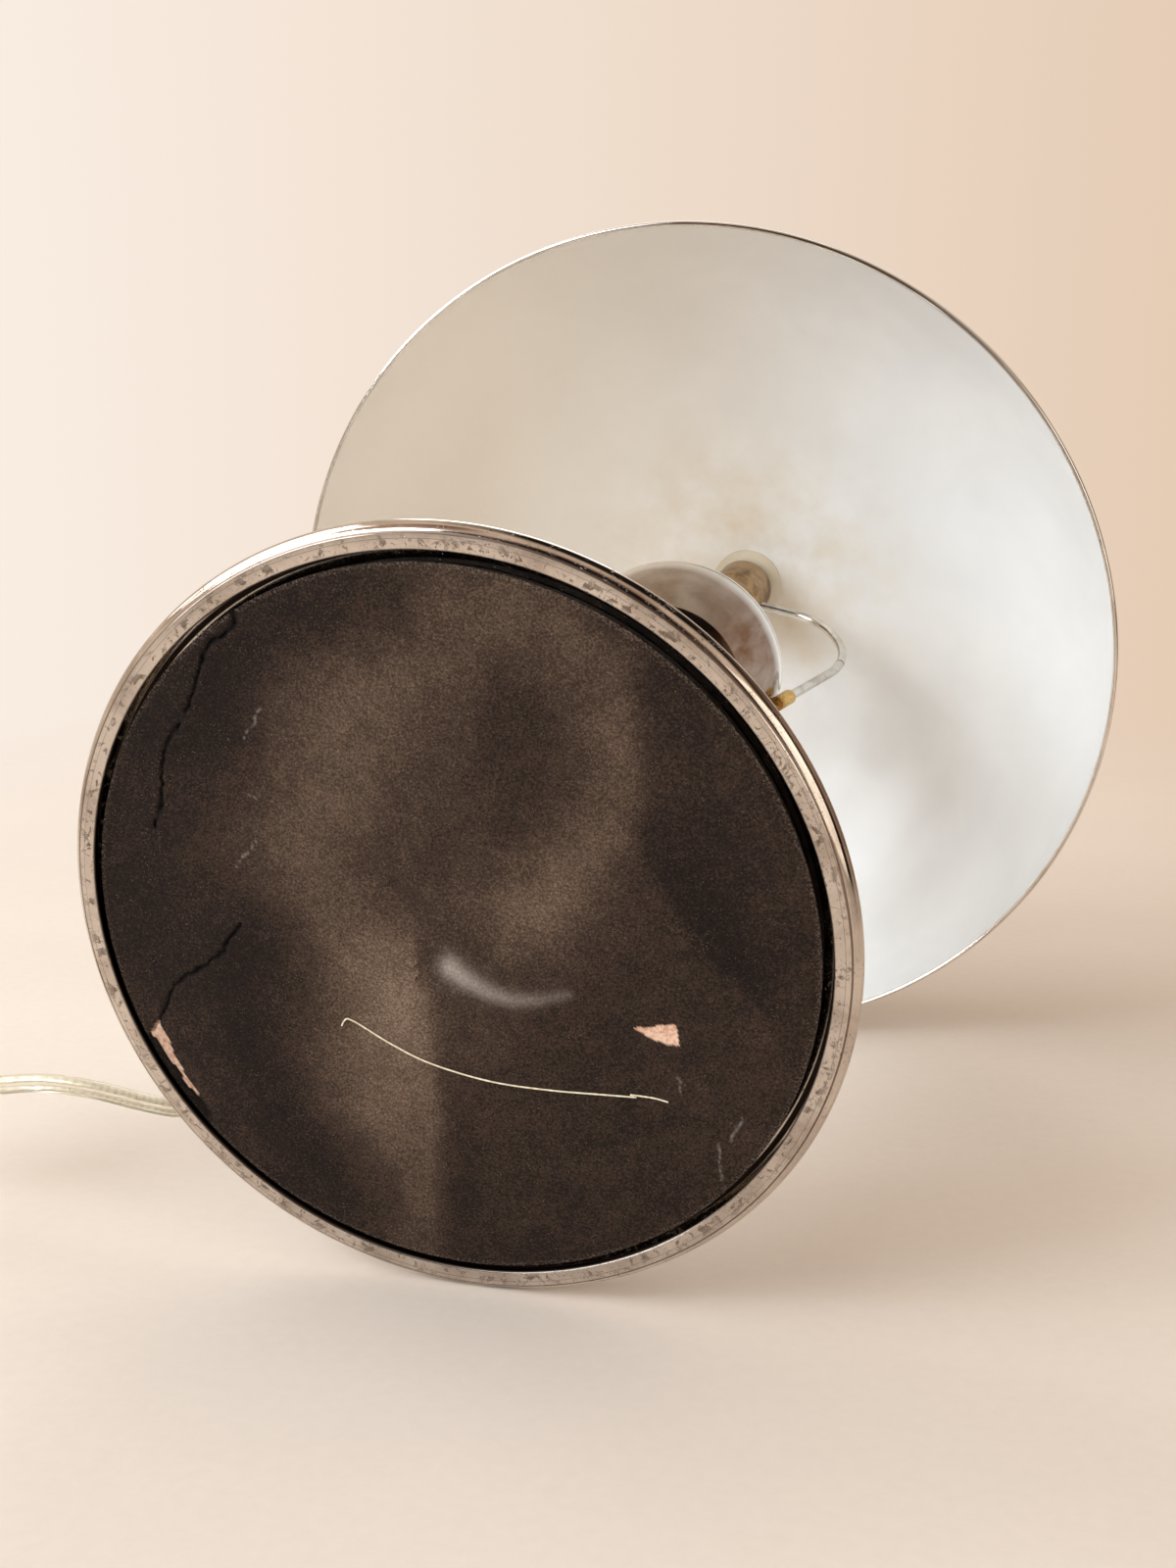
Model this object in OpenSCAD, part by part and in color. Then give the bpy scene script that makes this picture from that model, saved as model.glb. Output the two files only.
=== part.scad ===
// Mushroom table lamp: a weighted foot, a stem with a cup round the lampholder, and a domed
// shade that turns and tilts on a ball at the top of a two-armed wire harp.
// Millimetres. +Z is up, the origin is the centre of the foot on the table, the harp lies in XZ.

/* [Foot] */
// Radius of the opening that the pad lies in, inside the flat ring
foot_open_r = 90; // [89:0.5:96]
// Width of the flat ring that the lamp stands on
ring_w = 4.2; // [3:0.1:7]
// Radius of the rolled bead round the edge
bead_r = 3; // [2.4:0.1:3.4]
// Width of the shelf from the opening's edge in to the drum
shelf_w = 13; // [10:0.5:20]
// Height of the drum's shoulder above the table
shoulder_z = 23; // [22.5:0.5:26]
// Height of the flat top that carries the stem
foot_h = 33; // [30:0.5:42]
// Sheet thickness of the foot
foot_wall = 1; // [0.6:0.1:1.2]
// Gap round the cover pad when it lies in the middle of its opening
pad_gap = 1.8; // [1:0.1:4]
// Thickness of the cover pad
pad_t = 1.2; // [0.6:0.1:1.6]
// How much of that gap the pad has slid to one side
pad_slip = 0.9; // [0:0.1:0.9]

/* [Stem] */
// Length of the stem tube
stem_l = 135; // [100:1:180]
// Outside radius of the stem tube
stem_r = 10; // [8:0.5:12]
// Wall of the stem tube
stem_wall = 1; // [0.8:0.1:1.5]
// Radius of the hollow threaded rod that ties the lamp together
rod_r = 5; // [4.6:0.1:5.5]
// Radius of the rod's bore
rod_bore_r = 3.6; // [3.2:0.1:3.8]

/* [Cup] */
// Outside radius of the cup at its rim
cup_r = 34.5; // [32:0.5:37]
// Height of the cup from its floor to its rim
cup_h = 44; // [40:1:48]
// Sheet thickness of the cup
cup_wall = 0.9; // [0.7:0.1:1.2]

/* [Lampholder and bulb] */
// Outside radius of the lampholder
holder_r = 14; // [13:0.5:16]
// Height of the lampholder
holder_h = 40; // [38:1:44]
// Inside radius of the lampholder's screw shell
socket_r = 7; // [6.8:0.1:7.4]
// Radius of the bulb's glass ball
bulb_r = 22.5; // [18:0.5:23]
// Length of the bulb from its contact to its top
bulb_l = 76; // [72:1:78]

/* [Harp and swivel] */
// Diameter of the harp's wire
wire_d = 3; // [2.5:0.1:3.5]
// Widest reach of the harp's wire from the lamp's axis
harp_reach = 47.5; // [44:0.5:50]
// Height of the harp from the cup's rim to where its arms enter the hub
harp_h = 85; // [80:1:95]
// Outside radius of the brass hub
hub_r = 10.5; // [10:0.1:12]
// Radius of the swivel ball
ball_r = 6; // [5.5:0.1:6.4]
// How far the shade tilts each way
tilt_deg = 15; // [5:1:16]
// Radius of the stud that holds the shade
stud_r = 2.9; // [2.5:0.1:3]

/* [Shade] */
// Outside radius of the shade at its rim
shade_r = 139; // [125:1:150]
// Depth of the shade from its crown to its rim
shade_h = 92; // [85:1:105]
// Sheet thickness of the shade
shade_wall = 0.9; // [0.7:0.1:1.4]
// Radius of the seat washer under the shade
seat_r = 13; // [11:0.5:15]
// Radius of the knob on top
knob_r = 8.5; // [7:0.5:11]
// Height of the knob on top
knob_h = 15; // [12:0.5:20]

/* [Cord set] */
// Width of the flat cord
cord_w = 4.8; // [4.4:0.1:4.8]
// Thickness of the flat cord
cord_t = 2.5; // [2.2:0.1:2.6]
// Radius of the coil's innermost turn
coil_in_r = 19.4; // [19.4:0.2:24]
// Turns in each layer of the coil
coil_turns = 2.25; // [1.25:1:2.25]
// Length of the switch body
switch_l = 50; // [46:1:50]
// Width of the switch body
switch_w = 24; // [22:0.5:28]
// Height of the switch body
switch_h = 16; // [15:0.5:18]
// How far the rocker tips each way
rock_deg = 7; // [4:1:8]
// Length of the plug body
plug_l = 34; // [30:1:38]
// Thickness of the plug body
plug_t = 13.6; // [13:0.1:15]
// Radius of a plug pin
plug_pin_r = 2; // [1.8:0.1:2.4]
// Distance between the plug pins
plug_pitch = 19; // [18:0.5:19.5]

/* [Hidden] */
$fn = 96;

// Clearances: round a turning part, round a part that only passes, and between touching faces
fit = 0.06;
gap = 0.35;
hair = 0.02;

// Foot: the ring, the bead outside it, the shelf inside the bead and the drum
ring_out_r = foot_open_r + ring_w;
drum_r = foot_open_r - shelf_w;
pad_r = foot_open_r - pad_gap;
bead_x = ring_out_r - 1.1;
bead_z = bead_r + 0.4;
shelf_z = bead_z + bead_r + 0.7;
cove_r = 1.5;
shoulder_r = 5.5;
flat_r = 18;
weight_z = pad_t + 1.6;
weight_top = 14;
recess_r = 14;
nut_h = 5;
washer_t = 1.5;
boss_r = 16;
boss_z = 21.5;
rod_z = 14;
pad_slip_az = 118;

// Cord exit through the drum's wall, and the channel that leads to it
exit_az = 128;
exit_z = 13.2;
bush_r = 3.4;
flange_r = 4.2;
flange_t = 1.9;
sleeve_in = 8;
sleeve_l = 11;
sleeve_end_r = 3.1;
exit_r = drum_r + 2;
flex_z = 6;
flex_bend = 8;

// Stem and cup
collar_h = 6;
collar_seat = 2;
stem_z = foot_h + collar_seat;
cup_z = stem_z + stem_l + collar_seat;
cup_foot_r = 12;
rim_z = cup_z + cup_h;

// Lampholder, from the nut that clamps the cup
holder_nut_h = 3;
holder_z = cup_z + cup_wall + holder_nut_h;
holder_wall = 2;
base_part_h = 16;
insert_h = 6;
contact_z = holder_z + base_part_h;
shell_wall = 0.5;
bulb_z = contact_z + 1;
bulb_top = bulb_z + bulb_l;
cap_r = socket_r - fit;
cap_h = 22;
glass_wall = 0.8;

// Harp: a leg from its ferrule, a long bow, a tighter shoulder and a short run into the hub
harp_top = rim_z + harp_h;
bow_r = 60;
bow_end = 35;
shoulder_bend = 18;
wire_lap = 0.3;
hair_thin = 0.02;
ferrule_r = 2.4;
foot_x = cup_r + 3;
foot_z = rim_z - 7;
bow_z = harp_top - bow_r * sin(bow_end) - shoulder_bend * (1 - sin(bow_end));
bow_c = [harp_reach - bow_r, bow_z];
leg_v = [foot_x, foot_z] - bow_c;
leg_end = atan2(leg_v[1], leg_v[0]) + acos(bow_r / norm(leg_v));
shoulder_c = bow_c + (bow_r - shoulder_bend) * [cos(bow_end), sin(bow_end)];
leg_top = bow_c + bow_r * [cos(leg_end), sin(leg_end)];
lean = atan2(leg_top[0] - foot_x, leg_top[1] - foot_z);
arm_in = 4.5;
ferrule_h = 10;
rivet_r = 1.2;
rivet_head_r = 2.2;
rivet_z = foot_z - 3;

// Swivel: the ball's centre, the cap over it and the seat that clears the cap at full tilt
hub_z = harp_top - 4.5;
pocket_z = harp_top + 4;
seat_ring_r = ball_r + 1.6;
ball_z = pocket_z + ball_r + 0.3;
hub_top = ball_z + 2;
mouth_r = stud_r + 2.3;
cap_rise = 7;
seat_z = ball_z + cap_rise * cos(tilt_deg) + hub_r * sin(tilt_deg) + 0.6;
seat_t = 2.2;

// Shade and knob
crown_z = seat_z + seat_t + shade_wall;
crown_r = seat_r + 2;
shade_rim_z = crown_z - shade_h;
rim_bead = 0.75;
washer_z = crown_z;
top_washer_t = 1.2;
knob_z = washer_z + top_washer_t + fit;
stud_top = knob_z + knob_h * 0.7;

// Coil: it starts at its outside on the lead, and layers are a thickness and a gap apart
lead_x = -212;
coil_y = 20;
coil_z = 2;
coil_pitch = cord_w + 0.6;
layer_pitch = cord_t + 0.7;
layers = 4;
rings_a_turn = 24;
coil_top = coil_z + (layers - 1) * layer_pitch;
coil_out_r = coil_in_r + coil_turns * coil_pitch;
coil_c = [lead_x + coil_out_r, coil_y];
tie_wall = 0.6;
tie_w = 6;

// Switch and plug
switch_c = [-162, 86];
nozzle_l = 3;
entry_z = 6;
split_z = switch_h / 2;
rocker_l = 15;
rocker_w = 9;
pivot_r = 1.4;
pivot_z = switch_h - 3.4;
plug_y = -44;
relief_l = 20;
relief_end_r = 3.1;
pin_l = 19;
pin_sleeve_l = 10;
pin_core_r = plug_pin_r - 0.5;
pin_in = 6;

// Cord: the stretch from the bush into the switch, chosen by hand; its first points are given
// along and across the bush's own line
function from_exit(a, b, z) = spin(exit_r + a, exit_az, z) + spin(b, exit_az + 90, 0);
run_route = [spin(exit_r, exit_az, exit_z), from_exit(6, 0, exit_z), from_exit(11.6, 0, 13.15),
             from_exit(14.4, 0.6, 12.5), from_exit(17, 1.8, 11.3),
             from_exit(19.4, 3.6, 9.8), from_exit(21.8, 5.8, 8.2), [-71, 75.5, 6.5], [-76, 74.8, 4.8],
             [-82, 74, 3.1], [-88, 73.9, 2], [-94, 74.6, 1.5], [-100, 76, 1.4],
             [-106, 78.2, 1.4], [-112, 80.8, 1.5], [-118, 83.2, 2.4], [-124, 85, 4],
             [-129.5, 85.9, 5.8], [-134, 86, 6], [-139, 86, 6]];
// From the switch to the coil
lead_route = [[-185, 86, 6], [-190, 86, 6], [-195, 85.8, 5.6], [-200.4, 84.1, 4.6], [-205.2, 81, 3.6],
              [-209, 76.6, 2.8], [-211.3, 71.4, 2.3], [lead_x, 66, 2.1], [lead_x, 58, 2],
              [lead_x, 50, 2], [lead_x, 42, 2], [lead_x, 34, 2],
              [lead_x, coil_y + cord_w, coil_z]];
// From the coil to the plug
tail_route = [[lead_x, coil_y - cord_w, coil_top], [lead_x, 9, 11.4], [lead_x, 2, 10.6],
              [lead_x, -5, 9.3], [lead_x, -11, 8], [lead_x, -16, 7.1], [lead_x, -21, plug_t / 2],
              [lead_x, -27, plug_t / 2], [lead_x, plug_y, plug_t / 2]];

// Points on an arc round c, and on a curve from a to b bent towards the corner k
function arc(c, r, a0, a1, n) = [for (i = [0:n]) let (a = a0 + (a1 - a0) * i / n)
                                 [c[0] + r * cos(a), c[1] + r * sin(a)]];
function curve(a, k, b, n) = [for (i = [0:n]) let (t = i / n)
                              (1 - t) * (1 - t) * a + 2 * t * (1 - t) * k + t * t * b];
// The same outline moved by d to its left
function inset(p, d) = [for (i = [0:len(p) - 1])
                        let (t = p[min(i + 1, len(p) - 1)] - p[max(i - 1, 0)])
                        p[i] + d * [-t[1], t[0]] / norm(t)];
function reversed(p) = [for (i = [len(p) - 1:-1:0]) p[i]];
function spin(r, a, z) = [r * cos(a), r * sin(a), z];
function unit(v) = v / norm(v);

// A sheet of thickness t whose outer side follows the outline p
module spun_sheet(p, t) {
    rotate_extrude() polygon(concat(p, reversed(inset(p, t))));
}

// A ring or washer of height h
module ring(r_out, r_in, h) {
    difference() {
        cylinder(r = r_out, h = h);
        translate([0, 0, -1]) cylinder(r = r_in, h = h + 2);
    }
}

// A flat slab with round corners, centred in x and y
module slab(l, w, r, h) {
    linear_extrude(h) {
        square([l - 2 * r, w], center = true);
        square([l, w - 2 * r], center = true);
        for (x = [-1, 1], y = [-1, 1]) translate([x * (l / 2 - r), y * (w / 2 - r)]) circle(r = r);
    }
}

// Section of the flat cord, across and up, with 8 or 6 corners
function oval(n) = let (w = cord_w / 2, t = cord_t / 2)
    n == 8 ? [[w, -t / 2], [w, t / 2], [w * 0.6, t], [-w * 0.6, t],
              [-w, t / 2], [-w, -t / 2], [-w * 0.6, -t], [w * 0.6, -t]]
           : [[w, 0], [w * 0.56, t], [-w * 0.56, t], [-w, 0], [-w * 0.56, -t], [w * 0.56, -t]];

// The direction of a route at its point i, and the way across it
function heading(p, i) = unit(p[min(i + 1, len(p) - 1)] - p[max(i - 1, 0)]);
function across(t, side) = side == undef ? unit(cross([0, 0, 1], t)) : side;

// The flat cord swept along a route; its ends can be turned to face what they meet
module swept(p, n, side = undef, first = undef, last = undef) {
    s = oval(n);
    m = len(p);
    points = [for (i = [0:m - 1])
              let (t = i == 0 && first != undef ? first : i == m - 1 && last != undef ? last
                       : heading(p, i),
                   a = across(t, side), u = cross(t, a))
              for (q = s) p[i] + q[0] * a + q[1] * u];
    sides = [for (i = [0:m - 2], j = [0:n - 1]) let (k = (j + 1) % n, a = i * n, b = a + n)
             for (f = [[a + j, b + j, b + k], [a + j, b + k, a + k]]) f];
    ends = [for (j = [1:n - 2]) for (f = [[0, j, j + 1], [(m - 1) * n, (m - 1) * n + j + 1,
                                                          (m - 1) * n + j]]) f];
    polyhedron(points, concat(sides, ends));
}

// Foot

// Outline from the opening out along the ring, round the bead and over the drum
drum_top = arc([drum_r - shoulder_r, shoulder_z - shoulder_r], shoulder_r, 0, 78, 9);
foot_path = concat([[foot_open_r, 0.5], [foot_open_r + 0.5, 0], [ring_out_r - 0.4, 0],
                    [ring_out_r, 0.55]],
                   arc([bead_x, bead_z], bead_r, -52, 100, 16),
                   [[bead_x - bead_r, shelf_z - 0.1]],
                   arc([drum_r + cove_r, shelf_z + cove_r], cove_r, 270, 180, 4),
                   drum_top,
                   curve([flat_r + 14, foot_h - (foot_h - shoulder_z) * 0.22],
                         [flat_r + 6, foot_h], [flat_r, foot_h], 6),
                   [[rod_r + gap, foot_h]]);

module base_shell() {
    color("gainsboro") difference() {
        spun_sheet(foot_path, foot_wall);
        rotate([0, 0, exit_az]) translate([drum_r - 8, 0, exit_z]) rotate([0, 90, 0])
            cylinder(r = bush_r + hair, h = 16);
    }
}

// Cast weight under the foot, with a channel for the flex and a recess for the nut
module base_weight() {
    low_r = foot_open_r - 4;
    top_r = drum_r - foot_wall - 2 * gap;
    edge = 2;
    color("dimgray") difference() {
        rotate_extrude() polygon([
            [0, weight_z], [low_r - 1, weight_z], [low_r, weight_z + 1],
            [low_r, shelf_z - foot_wall - gap], [top_r, shelf_z - foot_wall - gap],
            [top_r, weight_top - edge], [top_r - edge, weight_top], [boss_r + 8, weight_top],
            [boss_r, weight_top + 9], [boss_r, foot_h - foot_wall], [0, foot_h - foot_wall]]);
        translate([0, 0, weight_z - 1]) cylinder(r = recess_r, h = boss_z - weight_z + 1);
        cylinder(r = rod_r + gap, h = foot_h);
        rotate([0, 0, exit_az]) {
            translate([0, -cord_w / 2 - 1, weight_z - 1])
                cube([foot_open_r, cord_w + 2, flex_z + cord_t - weight_z + 1]);
            translate([drum_r - 24, -bush_r - gap, weight_z - 1])
                cube([30, 2 * (bush_r + gap), weight_top]);
        }
    }
}

// Card pad that covers the weight, slid to one side in its opening
module base_pad() {
    color([0.16, 0.13, 0.12])
        translate(spin(pad_slip * pad_gap, pad_slip_az, weight_z - pad_t)) cylinder(r = pad_r, h = pad_t);
}

module rod_washer() {
    color("silver") translate([0, 0, boss_z - washer_t]) ring(recess_r - 2, rod_r + 0.1, washer_t);
}

// Nut for the rod, chamfered on both faces
module hex_nut(h) {
    difference() {
        intersection() {
            cylinder(r = rod_r * 1.96, h = h, $fn = 6);
            cylinder(r1 = rod_r * 1.8, r2 = rod_r * 1.8 + h, h = h);
            cylinder(r1 = rod_r * 1.8 + h, r2 = rod_r * 1.8, h = h);
        }
        translate([0, 0, -1]) cylinder(r = rod_r + hair, h = h + 2);
    }
}

module rod_nut() {
    color("goldenrod") translate([0, 0, boss_z - washer_t - nut_h]) hex_nut(nut_h);
}

// Hollow rod from under the weight to inside the lampholder
module threaded_rod() {
    color("goldenrod") translate([0, 0, rod_z])
        ring(rod_r, rod_bore_r, holder_z + 6 - rod_z);
}

// Stem

module base_collar() {
    color("gainsboro") rotate_extrude() polygon(concat(
        [[rod_r + gap, foot_h], [stem_r + 4.5, foot_h]],
        curve([stem_r + 4.5, foot_h + 1.5], [stem_r + 1.6, foot_h + 2],
              [stem_r + 1.2, foot_h + collar_h], 6),
        [[stem_r + hair, foot_h + collar_h], [stem_r + hair, stem_z], [rod_r + gap, stem_z]]));
}

module stem_tube() {
    color("gainsboro") translate([0, 0, stem_z]) ring(stem_r, stem_r - stem_wall, stem_l);
}

module cup_collar() {
    low = cup_z - collar_h;
    seat = cup_z - collar_seat;
    color("gainsboro") rotate_extrude() polygon(concat(
        [[rod_r + gap, seat], [stem_r + hair, seat], [stem_r + hair, low]],
        curve([stem_r + 1.2, low], [stem_r + 1.6, cup_z - 2.5], [stem_r + 5, cup_z - 1.2], 6),
        [[stem_r + 5, cup_z], [rod_r + gap, cup_z]]));
}

// Cup: a flat floor that turns up into a quarter of an ellipse, with a rolled rim
cup_path = concat([[rod_r + gap, cup_z]],
                  [for (i = [0:22]) let (a = 90 * i / 22)
                   [cup_foot_r + (cup_r - cup_foot_r) * sin(a), cup_z + cup_h * (1 - cos(a))]]);

module cup() {
    color("gainsboro") difference() {
        union() {
            spun_sheet(cup_path, cup_wall);
            translate([0, 0, rim_z]) rotate_extrude()
                translate([cup_r - cup_wall / 2, 0]) circle(r = 1, $fn = 24);
        }
        for (s = [0, 180]) rotate([0, 0, s]) translate([cup_r - 8, 0, rivet_z])
            rotate([0, 90, 0]) cylinder(r = rivet_r + hair, h = 10);
    }
}

// Lampholder

module holder_nut() {
    color("goldenrod") translate([0, 0, cup_z + cup_wall]) hex_nut(holder_nut_h);
}

module holder_base() {
    color([0.1, 0.09, 0.08]) translate([0, 0, holder_z]) rotate_extrude() polygon([
        [rod_r + hair, 0], [holder_r - 4, 0], [holder_r, 6], [holder_r, base_part_h - hair],
        [holder_r - holder_wall, base_part_h - hair], [holder_r - holder_wall, 7],
        [holder_r - 5, 4.5], [rod_r + 2.5, 4.5], [rod_r + 2.5, 6], [rod_r + hair, 6]]);
}

// Insulating disc that carries the contacts and the two terminals
module holder_insert() {
    color("linen") translate([0, 0, contact_z - insert_h - 1]) difference() {
        cylinder(r = holder_r - holder_wall - hair, h = insert_h);
        for (s = [-1, 1]) translate([0, s * 6.5, -1]) cylinder(r = 1.5, h = insert_h + 2);
    }
}

module holder_sleeve() {
    top = holder_z + holder_h;
    color([0.1, 0.09, 0.08]) rotate_extrude() polygon([
        [holder_r - holder_wall, contact_z], [holder_r, contact_z], [holder_r, top - 1.5],
        [holder_r - 1.5, top], [socket_r + shell_wall + gap, top],
        [socket_r + shell_wall + gap, top - 3], [holder_r - holder_wall, top - 5]]);
}

module screw_shell() {
    color("gold") translate([0, 0, contact_z - 1]) {
        ring(socket_r + shell_wall, socket_r, holder_h - base_part_h - 1);
        ring(holder_r - holder_wall - gap, socket_r, 0.8);
    }
}

module centre_contact() {
    color("gold") {
        translate([0, 0, contact_z - 1]) cylinder(r = 3, h = 0.6);
        translate([-1.5, -1.5, contact_z - 0.4]) cube([3, 3, 1.3]);
    }
}

module terminal_screws() {
    color("gold") for (s = [-1, 1]) translate([0, s * 6.5, contact_z - insert_h - 3]) {
        cylinder(r = 2.4, h = 2);
        cylinder(r = 1.4, h = insert_h);
    }
}

// Bulb

module bulb_contact() {
    color("silver") translate([0, 0, bulb_z]) cylinder(r1 = 1.8, r2 = 2.6, h = 1.2);
}

// Cap with the turns of its screw as rounded ribs, hollow above its insulator
module bulb_cap() {
    ribs = 5;
    rib = 2.8;
    start = bulb_z + 4;
    bore = cap_r - 1.4;
    color("silver") rotate_extrude() polygon(concat(
        [[0, bulb_z + 1.2], [3, bulb_z + 1.2], [cap_r - 1.2, start - 1]],
        [for (i = [0:ribs * 6]) [cap_r - 0.35 + 0.35 * sin(i * 60 - 90), start + i * rib / 6]],
        [[cap_r - 0.2, bulb_z + cap_h], [bore, bulb_z + cap_h], [bore, start], [0, start]]));
}

module bulb_glass() {
    c = bulb_top - bulb_r;
    neck = cap_r - 0.4;
    meet = -55;
    outer = concat([[neck, bulb_z + cap_h]],
                   curve([neck, bulb_z + cap_h + 2],
                         [neck + 0.6, c + bulb_r * sin(meet) - 3],
                         [bulb_r * cos(meet), c + bulb_r * sin(meet)], 6),
                   arc([0, c], bulb_r, meet + 6, 84, 23));
    inner = reversed(inset(outer, glass_wall));
    color([1, 1, 1, 0.4]) rotate_extrude()
        polygon(concat(outer, [[0, bulb_top], [0, bulb_top - glass_wall]], inner));
}

// Harp

// A straight run of wire in the XZ plane from a to b, which ends a little past b
module run(a, b, past = 0, thin = 0) {
    v = b - a;
    translate([a[0], 0, a[1]]) rotate([0, atan2(v[0], v[1]), 0])
        cylinder(d = wire_d - thin, h = norm(v) + past);
}

// A bend of wire in the XZ plane, from angle a0 to a1 round c, lap longer at both ends
module bend(c, r, a0, a1, lap = 0, thin = 0) {
    extra = lap / r * 180 / PI;
    translate([c[0], 0, c[1]]) rotate([90, 0, 0]) rotate([0, 0, a0 - extra])
        rotate_extrude(angle = a1 - a0 + 2 * extra)
            translate([r, 0]) circle(d = wire_d - thin, $fn = 48);
}

// Every second stretch is a hair thinner and starts inside its neighbour's end
module harp_arm() {
    color("gainsboro") {
        run([foot_x, foot_z], leg_top, past = wire_lap, thin = hair_thin);
        bend(bow_c, bow_r, leg_end, bow_end);
        bend(shoulder_c, shoulder_bend, bow_end, 90, lap = wire_lap, thin = hair_thin);
        run([shoulder_c[0], harp_top], [arm_in, harp_top]);
    }
}

module harp_arm_right() harp_arm();

module harp_arm_left() rotate([0, 0, 180]) harp_arm();

// Brass ferrules that hold the legs, each riveted through the cup's wall
module harp_ferrules() {
    low = rivet_z - rivet_head_r - cup_z;
    wall_x = cup_foot_r + (cup_r - cup_foot_r) * sin(acos(1 - low / cup_h)) - cup_wall - 0.1;
    color("darkgoldenrod") for (s = [0, 180]) rotate([0, 0, s]) {
        translate([foot_x, 0, foot_z]) rotate([0, lean, 0]) difference() {
            translate([0, 0, -ferrule_h / 2]) cylinder(r = ferrule_r, h = ferrule_h);
            cylinder(d = wire_d + 2 * hair, h = ferrule_h);
        }
        translate([wall_x, 0, rivet_z]) rotate([0, 90, 0]) {
            cylinder(r = rivet_r, h = foot_x - wall_x);
            translate([0, 0, -0.9]) cylinder(r = rivet_head_r, h = 0.9);
        }
    }
}

// Swivel

module swivel_hub() {
    color("peru") difference() {
        translate([0, 0, hub_z]) rotate_extrude() polygon([
            [0, 0], [hub_r - 2, 0], [hub_r, 2], [hub_r, hub_top - hub_z - hair],
            [0, hub_top - hub_z - hair]]);
        translate([0, 0, pocket_z]) cylinder(r = seat_ring_r + fit, h = 40);
        for (s = [0, 180]) rotate([0, 0, s]) translate([arm_in, 0, harp_top]) rotate([0, 90, 0])
            cylinder(d = wire_d + 2 * hair, h = 20);
    }
}

// Ring that the ball turns and tilts in
module swivel_seat() {
    color("wheat") difference() {
        translate([0, 0, pocket_z + fit])
            cylinder(r = seat_ring_r, h = hub_top - pocket_z - 2 * fit);
        translate([0, 0, ball_z]) sphere(r = ball_r + fit);
        translate([0, 0, pocket_z - 1]) cylinder(r = 3, h = 4);
    }
}

module swivel_cap() {
    rise = ball_z + cap_rise - hub_top;
    color("peru") difference() {
        translate([0, 0, hub_top]) rotate_extrude() polygon([
            [0, 0], [hub_r, 0], [hub_r, rise - 1], [hub_r - 1, rise], [0, rise]]);
        translate([0, 0, hub_top - 1]) cylinder(r = mouth_r, h = 20);
        translate([0, 0, ball_z]) sphere(r = ball_r + gap);
    }
}

module ball_stud() {
    color("goldenrod") {
        translate([0, 0, ball_z]) sphere(r = ball_r);
        translate([0, 0, ball_z]) cylinder(r = stud_r, h = stud_top - ball_z);
    }
}

// Shade

module shade_seat() {
    color("silver") translate([0, 0, seat_z]) rotate_extrude() polygon([
        [stud_r + hair, 0], [seat_r - 3, 0], [seat_r, seat_t - 0.8], [seat_r, seat_t],
        [stud_r + hair, seat_t]]);
}

crown_end = acos(crown_r / shade_r);
shade_rise = shade_h / sin(crown_end);
shade_path = concat([for (i = [0:36]) let (a = crown_end * i / 36)
                     [shade_r * cos(a), shade_rim_z + shade_rise * sin(a)]],
                    [[stud_r + 0.15, crown_z]]);

module shade() {
    color("gainsboro") {
        spun_sheet(shade_path, shade_wall);
        translate([0, 0, shade_rim_z]) rotate_extrude()
            translate([shade_r - shade_wall / 2, 0]) circle(r = rim_bead, $fn = 24);
    }
}

module shade_washer() {
    color("silver") translate([0, 0, washer_z]) ring(knob_r - 0.5, stud_r + hair, top_washer_t);
}

// Turned knob: a waist that swells into a flattened ball
module knob() {
    ball = knob_h * 0.62;
    color("gainsboro") translate([0, 0, knob_z]) difference() {
        rotate_extrude() polygon(concat(
            [[0, 0], [knob_r - 1.2, 0], [knob_r - 0.8, 0.8]],
            curve([knob_r - 1.6, 1.8], [knob_r * 0.5, 2.6], [knob_r * 0.55, knob_h - ball], 6),
            [for (i = [1:14]) let (a = -56 + 146 * i / 14)
             [max(knob_r * cos(a), 0), knob_h - ball / 2 + ball / 2 * sin(a)]]));
        translate([0, 0, -1]) cylinder(r = stud_r + fit, h = knob_h * 0.7 + 2);
    }
}

// Cord set

// A hole along X for the flat cord
module cord_slot(l) {
    translate([0, -cord_w / 2 - 0.1, -cord_t / 2 - 0.1]) cube([l, cord_w + 0.2, cord_t + 0.2]);
}

// Bush in the drum's wall, whose sleeve tapers along the cord outside
module cord_bush() {
    color("ivory") rotate([0, 0, exit_az]) translate([exit_r, 0, exit_z]) difference() {
        rotate([0, 90, 0]) rotate_extrude() polygon([
            [0, -sleeve_in - 2], [bush_r - 0.4, -sleeve_in - 2], [bush_r, -sleeve_in - 1.6],
            [bush_r, -flange_t], [flange_r, -flange_t], [flange_r, -0.3], [flange_r - 0.3, 0],
            [bush_r + 0.1, 0], [sleeve_end_r, sleeve_l], [0, sleeve_l]]);
        translate([-20, 0, 0]) cord_slot(40);
    }
}

// The cord inside the lamp: through the bush, under the weight and up the rod
inner_path = concat([[exit_r, exit_z], [drum_r - 8, exit_z], [drum_r - 11, exit_z - 0.6],
                     [drum_r - 17, flex_z + 2.6], [drum_r - 21, flex_z + 0.5],
                     [drum_r - 25, flex_z], [(drum_r - 25) * 0.7, flex_z], [18, flex_z]],
                    arc([flex_bend, flex_z + flex_bend], flex_bend, 270, 180, 5),
                    [for (z = [rod_z + 10:30:holder_z]) [0, z]], [[0, holder_z + 7]]);

module inner_flex() {
    az = exit_az;
    color("khaki") swept([for (p = inner_path) spin(p[0], az, p[1])], 8, spin(1, az + 90, 0));
}

module cord_run() {
    color("khaki") swept(run_route, 8, first = spin(1, exit_az, 0), last = [-1, 0, 0]);
}

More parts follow.
